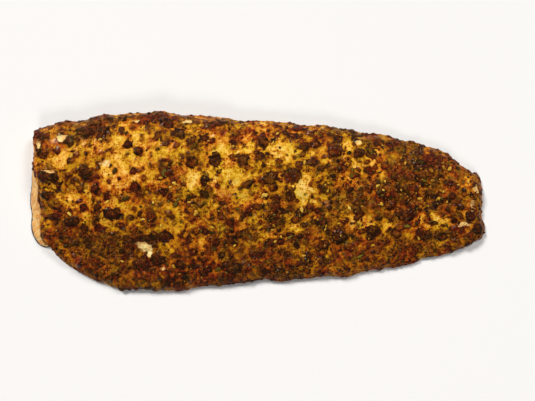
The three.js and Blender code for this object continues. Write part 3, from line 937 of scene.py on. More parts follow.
def closed_rings(name, points, top_level, foot_level, fields=None):
    """A piece from stacked rings of points, closed above and below onto lines at these heights."""
    first = len(points)
    top_spine = spine_points(top_level)
    faces = stacked_rings(first // STATIONS).tolist()
    faces += closing_faces(np.arange(STATIONS), first, up=True)
    faces += closing_faces(np.arange(first - STATIONS, first), first + len(top_spine), up=False)
    return make_piece(name, np.concatenate([points, top_spine, spine_points(foot_level)]), faces, fields)


# %% A ragged hem
TONGUES = [(1.0, 14), (0.7, 5)]  # strength and length of the tongues in an edge, in two sizes
TONGUES_ON_LONG = 1.2  # how much longer the tongues are where the edge already hangs low
TONGUES_ON_SHORT = 0.3
HEM_REACH = 5.0  # how far the hem of one edge reaches into that of the next, at a corner
HEM_LIMITS = [0.02, 0.95]


def ragged_hem(shares, uneven, seed):
    """How far down the wall an edge runs at each station, with tongues and gaps."""
    even = blend_by_edge(shares, rim_u, rim_v, HEM_REACH)
    tongues = layered_noise(rim_along, np.zeros_like(rim_along), TONGUES, seed)
    return np.clip(even + (TONGUES_ON_LONG * even + TONGUES_ON_SHORT) * uneven * tongues, *HEM_LIMITS)


# %% The crust's mesh
HEM_RINGS = 10
HEM_SHARE = {"belly": 0.62, "back": 0.55, "head": 0.04, "tail": 0.75}
CRUST_THICKNESS = 0.7
THICK_FROM = 1 / 3  # the crust has its full thickness from this share of the way to its hem
HEM_BLUNTNESS = 6
TUCK = 1.6
UNDERSIDE_LEVEL = 4.0


def laid_flat(points):
    """Where each grid point would lie if the glaze were pressed flat, from its middle outwards."""
    flat = []
    for axis, middle in ((0, COLUMNS // 2), (1, ROWS // 2)):
        step = np.diff(points, axis=axis)
        added = np.linalg.norm(step, axis=2) - np.linalg.norm(step[:, :, :2], axis=2)
        total = np.insert(np.cumsum(added, axis=axis), 0, 0, axis=axis)
        flat.append(points[:, :, axis] + total - np.take(total, [middle], axis=axis))
    return flat


number = np.arange((COLUMNS + 1) * (ROWS + 1)).reshape(COLUMNS + 1, ROWS + 1)
top_quads = np.stack([
    number[:-1, :-1].ravel(), number[1:, :-1].ravel(), number[1:, 1:].ravel(), number[:-1, 1:].ravel(),
], axis=1)
hem = ragged_hem(HEM_SHARE, uneven=0.2, seed=61)
top_points = np.stack([grid_x, grid_y, top_height(grid_u, grid_v)], axis=2)
flat_x, flat_y = laid_flat(top_points)
parts = [top_points.reshape(-1, 3)]
flat_parts = [np.stack([flat_x.ravel(), flat_y.ravel()])]
quads = [top_quads]
ring = number[station_i, station_j]
for k in range(1, HEM_RINGS + 1):
    share = k / HEM_RINGS
    beyond = CRUST_THICKNESS * min(1, share / THICK_FROM) * math.sqrt(1 - share**HEM_BLUNTNESS)
    below = sum(len(part) for part in parts) + np.arange(STATIONS)
    parts.append(wall_ring(hem * share, beyond))
    drop = rim_z * hem * share
    flat_parts.append(np.stack([
        flat_x[station_i, station_j] + out_x * drop,
        flat_y[station_i, station_j] + out_y * drop,
    ]))
    quads.append(ring_faces(ring, below))
    ring = below
smooth_points = np.concatenate(parts)
quads = np.concatenate(quads)

crust_normals = point_normals(smooth_points, quads)
crust_fields = glaze_fields(*np.concatenate(flat_parts, axis=1))
relief = crust_fields.pop("relief")
crust_points = smooth_points + crust_normals * relief[:, None]
crust_points[ring] = wall_ring(hem, -TUCK)
crust = make_piece(
    "baked_crust",
    np.concatenate([crust_points, spine_points(UNDERSIDE_LEVEL)]),
    quads.tolist() + closing_faces(ring, len(crust_points), up=False),
    crust_fields,
)

# %% [markdown]
# ## The flesh
#
# Under the crust the flesh shows at the cut ends and wherever the hem is short. Cooked salmon comes apart
# in flakes: layers of muscle between thin white sheets, which meet a cut as curved lines a few millimetres
# apart. The wall has rings close enough to carry those lines as grooves, and a field keeps their place for
# the material.

# %% The layers of the flesh
# At the cut ends the layers are arches over a point near the foot, along the sides they are leaning lines.
END_LAYERS = {"step": 5.2, "foot": 4, "across": 0.8, "upwards": 2.4}
SIDE_LAYERS = {"step": 7.8, "lean": 1.6, "bend": 6, "bend_height": 5}
END_DEPTH = 6  # from a cut end, the arches fade out over about this distance
LAYER_WARPS = [(0.35, 9), (0.15, 3.5)]


def layer_number(x, y, z, u):
    """A number that grows by one from each layer of muscle to the next."""
    loin_y = mix(curve_through(BELLY_Y, u), curve_through(BACK_Y, u), LOIN_AT)
    arch = np.hypot(END_LAYERS["across"] * (y - loin_y), END_LAYERS["upwards"] * (z - END_LAYERS["foot"]))
    bend = SIDE_LAYERS["bend"] * np.sin(z / SIDE_LAYERS["bend_height"])
    leaning = x + SIDE_LAYERS["lean"] * z + bend
    near_end = ease(0.3, 0.7, np.exp(-np.minimum(u, 1 - u) * LENGTH / END_DEPTH))
    warp = layered_noise(x + z, y - z, LAYER_WARPS, seed=71)
    return mix(leaning / SIDE_LAYERS["step"], arch / END_LAYERS["step"], near_end) + warp


# %% The flesh's mesh
WALL_RINGS = 30
LID_INSETS = [0.10, 0.06, 0.035, 0.018, 0.008]
LID_DEPTH = 1.6 * CRUST_THICKNESS  # below the smooth top
LID_LEVEL = 6.0  # height of the line that the lid closes onto, out of sight
FLESH_INSET = 0.3
FLOOR_GAP = 0.4  # the flesh ends this far above the floor, where the skin lies
GROOVE_DEPTH = 0.45
GROOVE_HALF_WIDTH = 0.16  # as a share of a layer
LUMP_HEIGHT = 0.3

parts = []
for inset in LID_INSETS:
    u = mix(rim_u, 0.5, inset)
    v = mix(rim_v, 0.5, inset * 2)
    x, y = plan(u, v)
    parts.append(np.stack([x, y, top_height(u, v) - LID_DEPTH], axis=1))
downs = np.linspace(0, 1, WALL_RINGS + 1)
parts += [wall_ring(np.full(STATIONS, down), -FLESH_INSET) for down in downs]
flesh_points = np.concatenate(parts)
flesh_down = np.repeat(np.concatenate([np.zeros(len(LID_INSETS)), downs]), STATIONS)
x, y, z = flesh_points.T
phase = layer_number(x, y, z, np.tile(rim_u, len(parts)))
groove = np.exp(-(((phase - np.round(phase)) / GROOVE_HALF_WIDTH) ** 2))
lumps = smooth_noise(x + z, y - z, size=5, seed=73)
free = ease(0, 0.05, flesh_down) * ease(1.0, 0.93, flesh_down)  # 0 at the rim and at the foot, which stay
relief = (LUMP_HEIGHT * lumps - GROOVE_DEPTH * groove) * free
flesh_points = flesh_points + point_normals(flesh_points, stacked_rings(len(parts))) * relief[:, None]
flesh_points[:, 2] = np.maximum(flesh_points[:, 2], FLOOR_GAP)
flesh_fields = {"phase": phase, "down": flesh_down}
flesh = closed_rings("salmon_flesh", flesh_points, LID_LEVEL, FLOOR_GAP, flesh_fields)

# %% [markdown]
# ## The skin
#
# The side lies on its skin, which wraps a little way up the back and the belly and shows as a thin dark
# line below the cuts. It shrinks in the oven, so its edge stands a hair away from the flesh. Rings run
# from inside that edge, over it, down to the floor and under the fish.

# %% The skin's mesh
SKIN_RISE = {"belly": 0.34, "back": 0.36, "head": 0.07, "tail": 0.2}
SKIN_THICKNESS = 0.8
SKIN_THINNING = 0.35  # the share of that thickness that is lost on the way down
SKIN_EDGE = [(0.02, -0.9), (0, 0.1)]  # share of the wall below the edge, and millimetres beyond the wall
SKIN_RINGS = 8
SKIN_LID_LEVEL = 1.2
UNDER_INSETS = [0.02, 0.05, 0.1, 0.2, 0.35]
WRINKLE_HEIGHT = 0.3
WRINKLES_FADE = [0, 3]  # heights above the floor between which the wrinkles set in

skin_top = 1 - ragged_hem(SKIN_RISE, uneven=0.15, seed=65)
parts = [wall_ring(skin_top + below, beyond) for below, beyond in SKIN_EDGE]
for k in range(SKIN_RINGS + 1):
    share = k / SKIN_RINGS
    parts.append(wall_ring(mix(skin_top, 1.0, share), SKIN_THICKNESS * (1 - SKIN_THINNING * share)))
foot = parts[-1]
middle = np.stack([np.interp(rim_u, us, line) for line in plan(us, np.full_like(us, 0.5))], axis=1)
for inset in UNDER_INSETS:
    under = foot.copy()
    under[:, :2] = mix(foot[:, :2], middle, inset)
    parts.append(under)
skin_points = np.concatenate(parts)
x, y, z = skin_points.T
wrinkle = WRINKLE_HEIGHT * smooth_noise(x, y + 2 * z, size=7, seed=66) * ease(*WRINKLES_FADE, z)
skin_points = skin_points + point_normals(skin_points, stacked_rings(len(parts))) * wrinkle[:, None]
skin_points[:, 2] = np.maximum(skin_points[:, 2], 0)
skin = closed_rings("salmon_skin", skin_points, SKIN_LID_LEVEL, foot_level=0.0)

# %% [markdown]
# ## Herbs, garlic and crumbs
#
# The glaze is full of small things. Each kind is one mesh, joined from many copies of a small shape: a
# curled scrap of leaf for the herbs, a kneaded lump for minced garlic, crumbs and spice. Particles would
# do the same in fewer lines, but real meshes keep their shape wherever the model goes. Each copy is
# stretched, turned and kneaded its own way, then set on the crust square to the surface.

# %% Small shapes
LEAF_WIDTHS = [0.25, 0.85, 1.0, 0.7, 0.15]
LEAF_CURL = 0.5
LEAF_FOLD = 0.25
LEAF_THICKNESS = 0.35
LEAF_BORDER = [0, 3, 6, 9, 12, 13, 14, 11, 8, 5, 2, 1]  # the points round the leaf, three to each width


def ball(subdivisions):
    """Points and faces of a unit ball of near-equal triangles."""
    made = bmesh.new()
    bmesh.ops.create_icosphere(made, subdivisions=subdivisions, radius=1)
    points = np.array([point.co[:] for point in made.verts])
    faces = np.array([[point.index for point in face.verts] for face in made.faces])
    made.free()
    return points, faces


def leaf_scrap():
    """Points and faces of a thin curled scrap of leaf, two units long."""
    upper = np.array([
        (x, side * width, LEAF_CURL * x * x + LEAF_FOLD * abs(side))
        for x, width in zip(np.linspace(-1, 1, len(LEAF_WIDTHS)), LEAF_WIDTHS)
        for side in (-1, 0, 1)
    ])
    lower = len(upper)  # what to add to the number of a point for the one below it
    faces = []
    for i in range(len(LEAF_WIDTHS) - 1):
        for j in range(2):
            a = 3 * i + j
            faces.append([a, a + 3, a + 4, a + 1])
            faces.append([lower + a + 1, lower + a + 4, lower + a + 3, lower + a])
    for a, b in zip(LEAF_BORDER, LEAF_BORDER[1:] + LEAF_BORDER[:1]):
        faces.append([b, a, lower + a, lower + b])
    return np.concatenate([upper, upper - (0, 0, LEAF_THICKNESS)]), np.array(faces)


# %% Copies of a shape, each a little different
KNEADING_WAVES = 3
KNEADING_PITCH = 2.2
FULL_TURN = 6.3  # near enough, in radians


def kneaded(points, rng, amount):
    """The same shape pushed in and out by a few slow waves."""
    for _ in range(KNEADING_WAVES):
        direction = rng.normal(size=3)
        wave = np.sin(KNEADING_PITCH * points @ direction + rng.uniform(0, FULL_TURN))
        points = points * (1 + amount * wave[:, None])
    return points


def scatter(name, shape, places, stretch, sunk, kneading, seed):
    """One mesh of many copies of a shape at (u, v, radius, turn) places on the crust."""
    unit, faces = shape
    stretch = np.array(stretch)
    rng = np.random.default_rng(seed)
    points = []
    shades = []
    for u, v, radius, turn in places:
        at = int(round(np.interp(u, us, np.arange(COLUMNS + 1)))) * (ROWS + 1)
        at += int(round(np.interp(v, vs, np.arange(ROWS + 1))))
        normal = crust_normals[at]
        along = np.array([math.cos(turn), math.sin(turn), 0])
        along = along - normal * (along @ normal)
        along = along / np.linalg.norm(along)
        axes = np.stack([along, np.cross(normal, along), normal])
        own = kneaded(unit, rng, kneading) * radius * stretch
        own[:, 2] -= sunk * radius * stretch[2]
        points.append(crust_points[at] + own @ axes)
        shades.append(np.full(len(unit), rng.random()))
    offsets = np.arange(len(points))[:, None, None] * len(unit)
    all_faces = (faces[None] + offsets).reshape(-1, faces.shape[1])
    return make_piece(name, np.concatenate(points), all_faces.tolist(), {"shade": np.concatenate(shades)})


# %% The small things' meshes
garlic = scatter(
    "minced_garlic", ball(3), garlic_places, stretch=[1.25, 0.75, 0.65], sunk=0.3, kneading=0.16, seed=85,
)
herbs = scatter(
    "chopped_herbs", leaf_scrap(), herb_places, stretch=[1.2, 0.7, 0.5], sunk=-0.2, kneading=0.22, seed=86,
)
crumbs = scatter(
    "burnt_crumbs", ball(2), crumb_places, stretch=[1.1, 0.9, 0.8], sunk=0.25, kneading=0.22, seed=87,
)
grains = scatter(
    "spice_grains", ball(2), grain_places, stretch=[1.2, 0.8, 0.8], sunk=0.15, kneading=0.10, seed=88,
)

# %% [markdown]
# ## Finishes
#
# A material is a small graph of nodes. The helper below adds a node, sets its values and joins its inputs
# in one call, so that each material reads as a list of steps.

# %% Node helpers
def colour(code):
    """A colour as printed on a web page, such as #C08A2E, turned into the linear light that shaders use."""
    parts = [int(code[k : k + 2], 16) / 255 for k in (1, 3, 5)]
    linear = [p / 12.92 if p <= 0.04045 else ((p + 0.055) / 1.055) ** 2.4 for p in parts]
    return (*linear, 1.0)


class Graph:
    """Adds nodes to one node tree."""

    def __init__(self, tree):
        self.tree = tree
        tree.nodes.clear()

    def add(self, kind, inputs=None, **settings):
        node = self.tree.nodes.new(kind)
        for name, value in settings.items():
            setattr(node, name, value)
        for name, value in (inputs or {}).items():
            if isinstance(value, bpy.types.NodeSocket):
                self.tree.links.new(value, node.inputs[name])
            else:
                node.inputs[name].default_value = value
        return node

    def math(self, operation, a, b=0.0, clamp=False):
        return self.add("ShaderNodeMath", {0: a, 1: b}, operation=operation, use_clamp=clamp).outputs[0]

    def plus(self, value, extra, amount=1.0):
        """The value, and some amount of something else on top."""
        return self.math("ADD", value, extra if amount == 1.0 else self.times(extra, amount))

    def times(self, value, factor):
        return self.math("MULTIPLY", value, factor)

    def around_zero(self, value, middle=0.5):
        return self.math("SUBTRACT", value, middle)

    def field(self, name):
        """A number that the mesh carries."""
        return self.add("ShaderNodeAttribute", attribute_name=name).outputs["Fac"]

    def place(self):
        return self.add("ShaderNodeTexCoord").outputs["Object"]

    def noise(self, vector, size, detail=2.0, roughness=0.5):
        """Noise from 0 to 1, with patches about that many millimetres across."""
        inputs = {"Vector": vector, "Scale": 0.5 / (size * MM), "Detail": detail, "Roughness": roughness}
        return self.add("ShaderNodeTexNoise", inputs).outputs["Fac"]

    def group(self, tree, inputs):
        """A shared effect with this material's own values, and its outputs."""
        return self.add("ShaderNodeGroup", inputs, node_tree=tree).outputs

    def range(self, value, low, high, to_low=0.0, to_high=1.0):
        """A smooth step, from to_low where the value is low to to_high where it is high."""
        inputs = {"Value": value, "From Min": low, "From Max": high, "To Min": to_low, "To Max": to_high}
        return self.add("ShaderNodeMapRange", inputs, interpolation_type="SMOOTHSTEP").outputs[0]

    def ramp(self, value, stops):
        """The colour at that value among (position, colour code) stops."""
        node = self.add("ShaderNodeValToRGB", {"Fac": value})
        elements = node.color_ramp.elements
        while len(elements) < len(stops):
            elements.new(1.0)
        for element, (position, code) in zip(elements, stops):
            element.position = position
            element.color = colour(code)
        return node.outputs["Color"]

    def mixed(self, share, a, b):
        """A number blended from a to b."""
        return self.add("ShaderNodeMix", {0: share, 2: a, 3: b}, data_type="FLOAT").outputs[0]

    def blend(self, share, a, b):
        """A colour blended from a to b."""
        inputs = {0: share, 6: a, 7: b}  # the numbers of the colour sockets among those of every data type
        return self.add("ShaderNodeMix", inputs, data_type="RGBA").outputs[2]

    def bump(self, height, depth):
        """The normal of a surface that height raises by up to that many millimetres."""
        return self.add("ShaderNodeBump", {"Height": height, "Distance": depth * MM}).outputs[0]

    def finish(self, **sockets):
        """The shader, with a socket for each name, and the material's output."""
        inputs = {name.replace("_", " "): value for name, value in sockets.items()}
        shader = self.add("ShaderNodeBsdfPrincipled", inputs)
        self.add("ShaderNodeOutputMaterial", {"Surface": shader.outputs[0]})


def new_material(name):
    material = bpy.data.materials.new(name)
    material.use_nodes = True
    return material, Graph(material.node_tree)


# %% [markdown]
# ## Effects that several finishes share
#
# Fine grain, dark specks of spice and wet patches show on the glaze, the flesh and the bits alike, only
# finer or coarser, stronger or weaker. Each is made once as a node group with named sockets, and every
# material that needs it places a copy with its own values. Changing the group later changes them all.

# %% Grain, specks and wet patches
def shared_effect(name, inputs, outputs):
    """An empty node group with named sockets, its graph, and the sockets of its inputs inside."""
    tree = bpy.data.node_groups.new(name, "ShaderNodeTree")
    for socket in inputs:
        kind = "NodeSocketVector" if socket == "Place" else "NodeSocketFloat"
        tree.interface.new_socket(socket, in_out="INPUT", socket_type=kind)
    for socket in outputs:
        tree.interface.new_socket(socket, in_out="OUTPUT", socket_type="NodeSocketFloat")
    g = Graph(tree)
    return tree, g, g.add("NodeGroupInput").outputs


def per_metre(g, millimetres, count=1.0):
    """The Scale of a texture that repeats count times in that many millimetres."""
    return g.math("DIVIDE", count / MM, millimetres)


SMALL_GRAIN = 0.9  # how strong the smaller of the grain's two noises is
SPECK_BORDER = [0.58, 0.32]  # distances from a speck's middle, from outside to inside
SPECK_WOBBLE = 0.8
SPECK_DIFFERENCE = 0.24  # how much smaller the smallest specks are
WET_BORDER = [0.0, 0.08]
LUMP_BORDER = [0.62, 0.12]


def grain_effect():
    """Uneven shade around 0: two sizes of noise, one 0.45 times as large as the other."""
    tree, g, given = shared_effect("baked_grain", ["Place", "Size", "Strength"], ["Shade"])
    place = {"Vector": given["Place"]}
    large = {**place, "Scale": per_metre(g, given["Size"], 0.5), "Detail": 3.0, "Roughness": 0.6}
    small = {**place, "Scale": per_metre(g, given["Size"], 1.1), "Detail": 2.0}
    noises = [g.add("ShaderNodeTexNoise", inputs).outputs["Fac"] for inputs in (large, small)]
    both = g.plus(*noises, SMALL_GRAIN)
    shade = g.math("MULTIPLY", g.around_zero(both, (1 + SMALL_GRAIN) / 2), given["Strength"])
    g.add("NodeGroupOutput", {"Shade": shade})
    return tree


def speck_effect():
    """Small round specks, 1 inside and 0 outside, in a share of the cells of a lattice."""
    tree, g, given = shared_effect("spice_specks", ["Place", "Spacing", "Share"], ["Mask"])
    inputs = {"Vector": given["Place"], "Scale": per_metre(g, given["Spacing"])}
    cells = g.add("ShaderNodeTexVoronoi", inputs)
    own = g.add("ShaderNodeSeparateColor", {"Color": cells.outputs["Color"]}).outputs
    uneven = g.times(g.around_zero(g.noise(given["Place"], 0.8)), SPECK_WOBBLE)
    smaller = g.times(own["Green"], SPECK_DIFFERENCE)
    dot = g.range(g.plus(cells.outputs["Distance"], g.plus(uneven, smaller)), *SPECK_BORDER)
    chosen = g.math("LESS_THAN", own["Red"], given["Share"])
    g.add("NodeGroupOutput", {"Mask": g.times(dot, chosen)})
    return tree


def wet_effect():
    """Wet patches, 1 where oil stands and 0 where it has baked dry."""
    tree, g, given = shared_effect("wet_patches", ["Place", "Size", "Dryness"], ["Mask"])
    inputs = {"Vector": given["Place"], "Scale": per_metre(g, given["Size"], 0.5), "Detail": 2.0}
    noise = g.add("ShaderNodeTexNoise", inputs).outputs["Fac"]
    g.add("NodeGroupOutput", {"Mask": g.range(g.around_zero(noise, given["Dryness"]), *WET_BORDER)})
    return tree


def lump_effect():
    """A bed of round lumps: 0 in the creases between them and 1 on their crowns."""
    tree, g, given = shared_effect("baked_lumps", ["Place", "Spacing"], ["Crown"])
    inputs = {"Vector": given["Place"], "Scale": per_metre(g, given["Spacing"]), "Smoothness": 0.2}
    away = g.add("ShaderNodeTexVoronoi", inputs, feature="SMOOTH_F1").outputs["Distance"]
    g.add("NodeGroupOutput", {"Crown": g.range(away, *LUMP_BORDER)})
    return tree


baked_grain = grain_effect()
spice_specks = speck_effect()
baked_lumps = lump_effect()
wet_patches = wet_effect()
print("shared effects:", [tree.name for tree in (baked_grain, spice_specks, baked_lumps, wet_patches)])

# %% [markdown]
# ## The glaze's finish
#
# Every brown in the glaze is a step on one road from cream over amber to burnt, so the material works out
# a single tone and looks its colour up at the end. Two ramps share that road, one golden and one reddish,
# and a field leans towards one or the other. The alternative, a colour for each layer, would need
# retouching in every layer.

# %% The baked glaze
GOLDEN_RAMP = [
    (0.00, "#FAD66E"), (0.14, "#EEC040"), (0.28, "#D8A41C"), (0.42, "#BC850E"),
    (0.56, "#9C6409"), (0.70, "#7A480A"), (0.84, "#542D09"), (1.00, "#170C06"),
]
REDDISH_RAMP = [
    (0.00, "#F8CC70"), (0.14, "#EDAE42"), (0.28, "#D5801E"), (0.42, "#B85E10"),
    (0.56, "#943C0B"), (0.70, "#70240A"), (0.84, "#4B140A"), (1.00, "#160907"),
]
OLIVE_RAMP = [(0.3, "#A8962C"), (0.6, "#66560F"), (0.8, "#3A3208"), (1.0, "#1C1806")]
PALE_FLESH = [(0.3, "#E8AC6A"), (0.5, "#F6D284"), (0.7, "#FEECA6")]

# How much the grain adds to each field.
GRAIN_IN = {"tone": 0.42, "cover": 0.8, "cover_tone": 0.6, "spot": 2.0, "spot_tone": 0.35, "bare": 3.2}
# Values of a field at which what it tells of sets in, and at which it is full.
BED_BORDER = [-0.5, 0.5]
SPOT_BORDER = [0.7, -0.7]
BARE_BORDER = [0.6, -0.8]
# How much of the colour below each of them hides where it is full.
BED_SHOWS = 0.85
OLIVE_SHOWS = 0.55
BARE_SHOWS = 0.92
CROWNS_DARKER = 0.10
LITTLE_SPECKS = 0.85
SPECKS_DARKER = 0.34
SPECKS_REDDER = 0.3
UNEVEN_RED = 1.6


def glaze_tone(g, own, crown, specks):
    """The tone from cream to burnt, how much of it is bed, and how much is spot."""
    bed = g.range(own["cover"], *BED_BORDER)
    bed_tone = g.plus(own["cover_tone"], g.around_zero(crown), CROWNS_DARKER)
    tone = g.mixed(g.times(bed, BED_SHOWS), own["tone"], bed_tone)
    spot = g.range(own["spot"], *SPOT_BORDER)
    tone = g.mixed(spot, tone, own["spot_tone"])
    return g.plus(tone, specks, SPECKS_DARKER), bed, spot


def glaze_paint(g, place, own, grain, specks, tone):
    """The colour for that tone, leaning to red, olive and pale flesh where the fields say so."""
    uneven_red = g.times(g.around_zero(g.noise(place, 2.4)), UNEVEN_RED)
    reddish = g.plus(g.field("reddish"), uneven_red)
    redder = g.math("ADD", reddish, g.times(specks, SPECKS_REDDER), clamp=True)
    paint = g.blend(redder, g.ramp(tone, GOLDEN_RAMP), g.ramp(tone, REDDISH_RAMP))
    herby = g.times(g.field("olive"), g.range(g.noise(place, 2.5), 0.4, 0.6))
    paint = g.blend(g.times(herby, OLIVE_SHOWS), paint, g.ramp(tone, OLIVE_RAMP))
    pale = g.ramp(g.plus(g.noise(place, 3.0, detail=3.0), grain, 0.4), PALE_FLESH)
    return g.blend(g.times(g.range(own["bare"], *BARE_BORDER), BARE_SHOWS), paint, pale)


def glaze_material():
    material, g = new_material("baked_glaze")
    place = g.place()
    grain = g.group(baked_grain, {"Place": place, "Size": 1.5, "Strength": 1.0})["Shade"]
    crown = g.group(baked_lumps, {"Place": place, "Spacing": 3.6})["Crown"]
    own = {name: g.plus(g.field(name), grain, amount) for name, amount in GRAIN_IN.items()}

    speckled = g.range(g.noise(place, 13), 0.35, 0.6, to_low=0.4)
    large = g.group(spice_specks, {"Place": place, "Spacing": 2.3, "Share": 0.62})["Mask"]
    little = g.group(spice_specks, {"Place": place, "Spacing": 1.5, "Share": 0.4})["Mask"]
    specks = g.times(g.math("MAXIMUM", large, g.times(little, LITTLE_SPECKS)), speckled)

    tone, bed, spot = glaze_tone(g, own, crown, specks)
    raised_bed = g.times(bed, g.range(spot, 0.0, 1.0, to_low=1.0, to_high=0.4))
    bed_height = g.plus(g.times(grain, 0.5), crown, 0.5)
    height = g.mixed(raised_bed, g.times(grain, 0.35), bed_height)
    height = g.math("SUBTRACT", height, g.times(specks, 0.25))
    wet = g.group(wet_patches, {"Place": place, "Size": 3.0, "Dryness": 0.54})["Mask"]
    g.finish(
        Base_Color=glaze_paint(g, place, own, grain, specks, tone),
        Roughness=g.mixed(wet, 0.55, 0.22),
        Normal=g.bump(height, 1.0),
        Subsurface_Weight=0.04,
        Subsurface_Radius=(1.0, 0.45, 0.2),
        Subsurface_Scale=2 * MM,
        Specular_IOR_Level=0.18,
        Specular_Tint=(1.0, 0.6, 0.3, 1.0),
        Coat_Weight=g.times(wet, g.range(spot, 0.0, 1.0, to_low=0.12, to_high=0.2)),
        Coat_Roughness=0.1,
    )
    return material


# %% [markdown]
# ## Flesh, skin and bits
#
# The flesh is a ramp of pinks that the grain mottles, crossed by the pale sheets between its flakes, whose
# place the mesh carries. The skin is dull silver under dark scales. The bits share one recipe and differ
# only in their ramps: each point carries its bit's own shade, so that no two bits are quite the same
# colour.

# %% The cooked flesh and the skin
FLESH_STOPS = [(0.3, "#D8934A"), (0.5, "#E8AE62"), (0.7, "#F3CA84")]
SHEET_COLOUR = "#F7E0AE"
BROWNED_COLOUR = "#A5661E"
SPICE_COLOUR = "#7A3C10"
SHEET_BORDER = [0.16, 0.03]  # distances from the middle of a sheet, as a share of a layer
SKIN_STOPS = [(0.3, "#2A2420"), (0.48, "#4A423A"), (0.62, "#7C756C"), (0.8, "#A09A90")]
SCALE_COLOUR = "#241C17"
SCALE_SIZE = 3.0


def flesh_material():
    material, g = new_material("cooked_flesh")
    place = g.place()
    grain = g.group(baked_grain, {"Place": place, "Size": 1.6, "Strength": 1.0})["Shade"]
    phase = g.plus(g.field("phase"), g.around_zero(g.noise(place, 2.0)), 0.3)
    line = g.math("ABSOLUTE", g.around_zero(g.math("FRACT", g.math("ADD", phase, 0.5))))
    paint = g.ramp(g.plus(g.noise(place, 4.0, detail=3.0), grain, 0.35), FLESH_STOPS)
    paint = g.blend(g.times(g.range(line, *SHEET_BORDER), 0.5), paint, colour(SHEET_COLOUR))
    near_crust = g.range(g.field("down"), 0.3, 0.0)
    browning = g.times(near_crust, g.range(g.noise(place, 3.0), 0.3, 0.6))
    paint = g.blend(g.times(browning, 0.75), paint, colour(BROWNED_COLOUR))
    specks = g.group(spice_specks, {"Place": place, "Spacing": 2.6, "Share": 0.2})["Mask"]
    paint = g.blend(g.times(specks, 0.45), paint, colour(SPICE_COLOUR))
    wet = g.group(wet_patches, {"Place": place, "Size": 5.0, "Dryness": 0.47})["Mask"]
    g.finish(
        Base_Color=paint,
        Roughness=0.45,
        Normal=g.bump(grain, 0.4),
        Subsurface_Weight=0.12,
        Subsurface_Radius=(1.0, 0.4, 0.2),
        Subsurface_Scale=3 * MM,
        Specular_IOR_Level=0.2,
        Coat_Weight=g.times(wet, 0.25),
        Coat_Roughness=0.25,
    )
    return material


def skin_material():
    material, g = new_material("baked_skin")
    place = g.place()
    inputs = {"Vector": place, "Scale": 1 / (SCALE_SIZE * MM)}
    scales = g.add("ShaderNodeTexVoronoi", inputs).outputs["Distance"]
    grain = g.group(baked_grain, {"Place": place, "Size": 2.0, "Strength": 0.5})["Shade"]
    paint = g.ramp(g.plus(g.noise(place, 14, detail=3.0, roughness=0.6), grain), SKIN_STOPS)
    paint = g.blend(g.range(scales, 0.35, 0.6, to_high=0.5), paint, colour(SCALE_COLOUR))
    g.finish(
        Base_Color=paint,
        Roughness=0.38,
        Normal=g.bump(g.times(scales, -1.0), 0.5),
        Specular_IOR_Level=0.5,
        Coat_Weight=0.2,
        Coat_Roughness=0.25,
    )
    return material


# %% The small things' finishes
def bit_material(name, stops, roughness, subsurface):
    """A mottled finish whose colour also differs from bit to bit."""
    material, g = new_material(name)
    place = g.place()
    grain = g.group(baked_grain, {"Place": place, "Size": 1.0, "Strength": 0.9})["Shade"]
    wet = g.group(wet_patches, {"Place": place, "Size": 1.5, "Dryness": 0.5})["Mask"]
    g.finish(
        Base_Color=g.ramp(g.plus(g.field("shade"), grain), stops),
        Roughness=roughness,
        Normal=g.bump(grain, 0.3),
        Subsurface_Weight=subsurface,
        Subsurface_Radius=(1.0, 0.6, 0.2),
        Subsurface_Scale=1.5 * MM,
        Specular_IOR_Level=0.2,
        Specular_Tint=(1.0, 0.7, 0.35, 1.0),
        Coat_Weight=g.times(wet, 0.15),
        Coat_Roughness=0.15,
    )
    return material


garlic_stops = [(0.0, "#6E4410"), (0.35, "#A8741A"), (0.7, "#CC9A2A"), (1.0, "#E4BC50")]
herb_stops = [(0.0, "#1C1404"), (0.45, "#35280A"), (0.8, "#54430E"), (1.0, "#7A6E24")]
crumb_stops = [(0.0, "#1C0D05"), (0.5, "#3A1E0B"), (1.0, "#6A3C12")]
grain_stops = [(0.0, "#5A260A"), (0.35, "#9A5210"), (0.7, "#C99024"), (1.0, "#E2B84C")]

finishes = {
    crust: glaze_material(),
    flesh: flesh_material(),
    skin: skin_material(),
    garlic: bit_material("golden_garlic", garlic_stops, 0.4, 0.1),
    herbs: bit_material("baked_herbs", herb_stops, 0.5, 0.0),
    crumbs: bit_material("burnt_crumb", crumb_stops, 0.5, 0.0),
    grains: bit_material("spice_grain", grain_stops, 0.45, 0.0),
}
print("materials:", [finish.name for finish in finishes.values()])

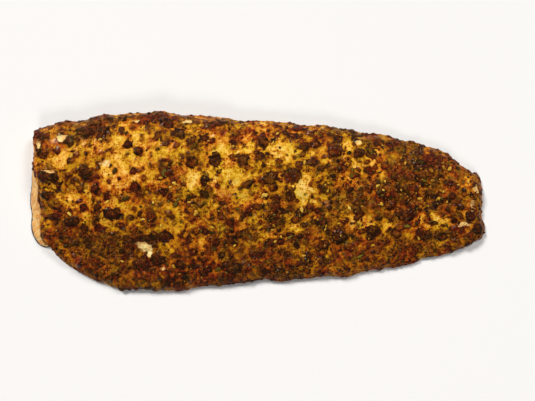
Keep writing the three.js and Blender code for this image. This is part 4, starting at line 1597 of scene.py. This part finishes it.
# %% [markdown]
# ## Light
#
# Three broad suns light the fish and its floor evenly, from the left, the right and the front. They stand
# well off the vertical, so that their mirror images don't veil the whole top: only slopes that face
# halfway between sun and camera shine, and that is what makes the glaze look wet. A dim white world fills
# the shadows, and a second one, seen only by the camera, keeps the background behind the floor as pale as
# the floor.

# %% Floor finish, suns and world
floor_paint, g = new_material("pale_floor")
g.finish(Base_Color=colour("#F5F8FE"), Roughness=0.7)
floor.data.materials.append(floor_paint)

scene = bpy.context.scene
scene.view_settings.view_transform = "Standard"
SUN_WIDTH = math.radians(17)
SUN_COLOUR = (1.0, 0.95, 0.87)  # warm, as kitchen light is
WHITE = (1, 1, 1, 1)
FILL = 0.08
BACKGROUND = 0.93
SUNS = {  # where each sun stands, seen from the fish, and how strong it is
    "key": ((-0.9, 1.1, 1.5), 2.55),
    "right": ((1.0, 0.9, 1.4), 1.05),
    "front": ((0.0, -1.4, 1.2), 0.7),
}

for name, (direction, strength) in SUNS.items():
    data = bpy.data.lights.new(name, "SUN")
    data.energy = strength
    data.angle = SUN_WIDTH
    data.color = SUN_COLOUR
    light = bpy.data.objects.new(name, data)
    light.location = direction
    light.rotation_euler = Vector(direction).to_track_quat("Z", "Y").to_euler()
    scene.collection.objects.link(light)

world = bpy.data.worlds.new("studio")
world.use_nodes = True
g = Graph(world.node_tree)
fill = g.add("ShaderNodeBackground", {"Color": WHITE, "Strength": FILL})
backdrop = g.add("ShaderNodeBackground", {"Color": WHITE, "Strength": BACKGROUND})
seen = g.add("ShaderNodeLightPath").outputs["Is Camera Ray"]
both = g.add("ShaderNodeMixShader", {0: seen, 1: fill.outputs[0], 2: backdrop.outputs[0]})
g.add("ShaderNodeOutputWorld", {"Surface": both.outputs[0]})
scene.world = world

# %% [markdown]
# ## Joining the pieces to the model
#
# Every piece rides on the one body, stands for the one solid, which is hidden, and takes its finish.

# %% Ride, replace and finish
for piece, finish in finishes.items():
    piece.data.materials.append(finish)
    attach(piece, "root")
    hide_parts(NODE)
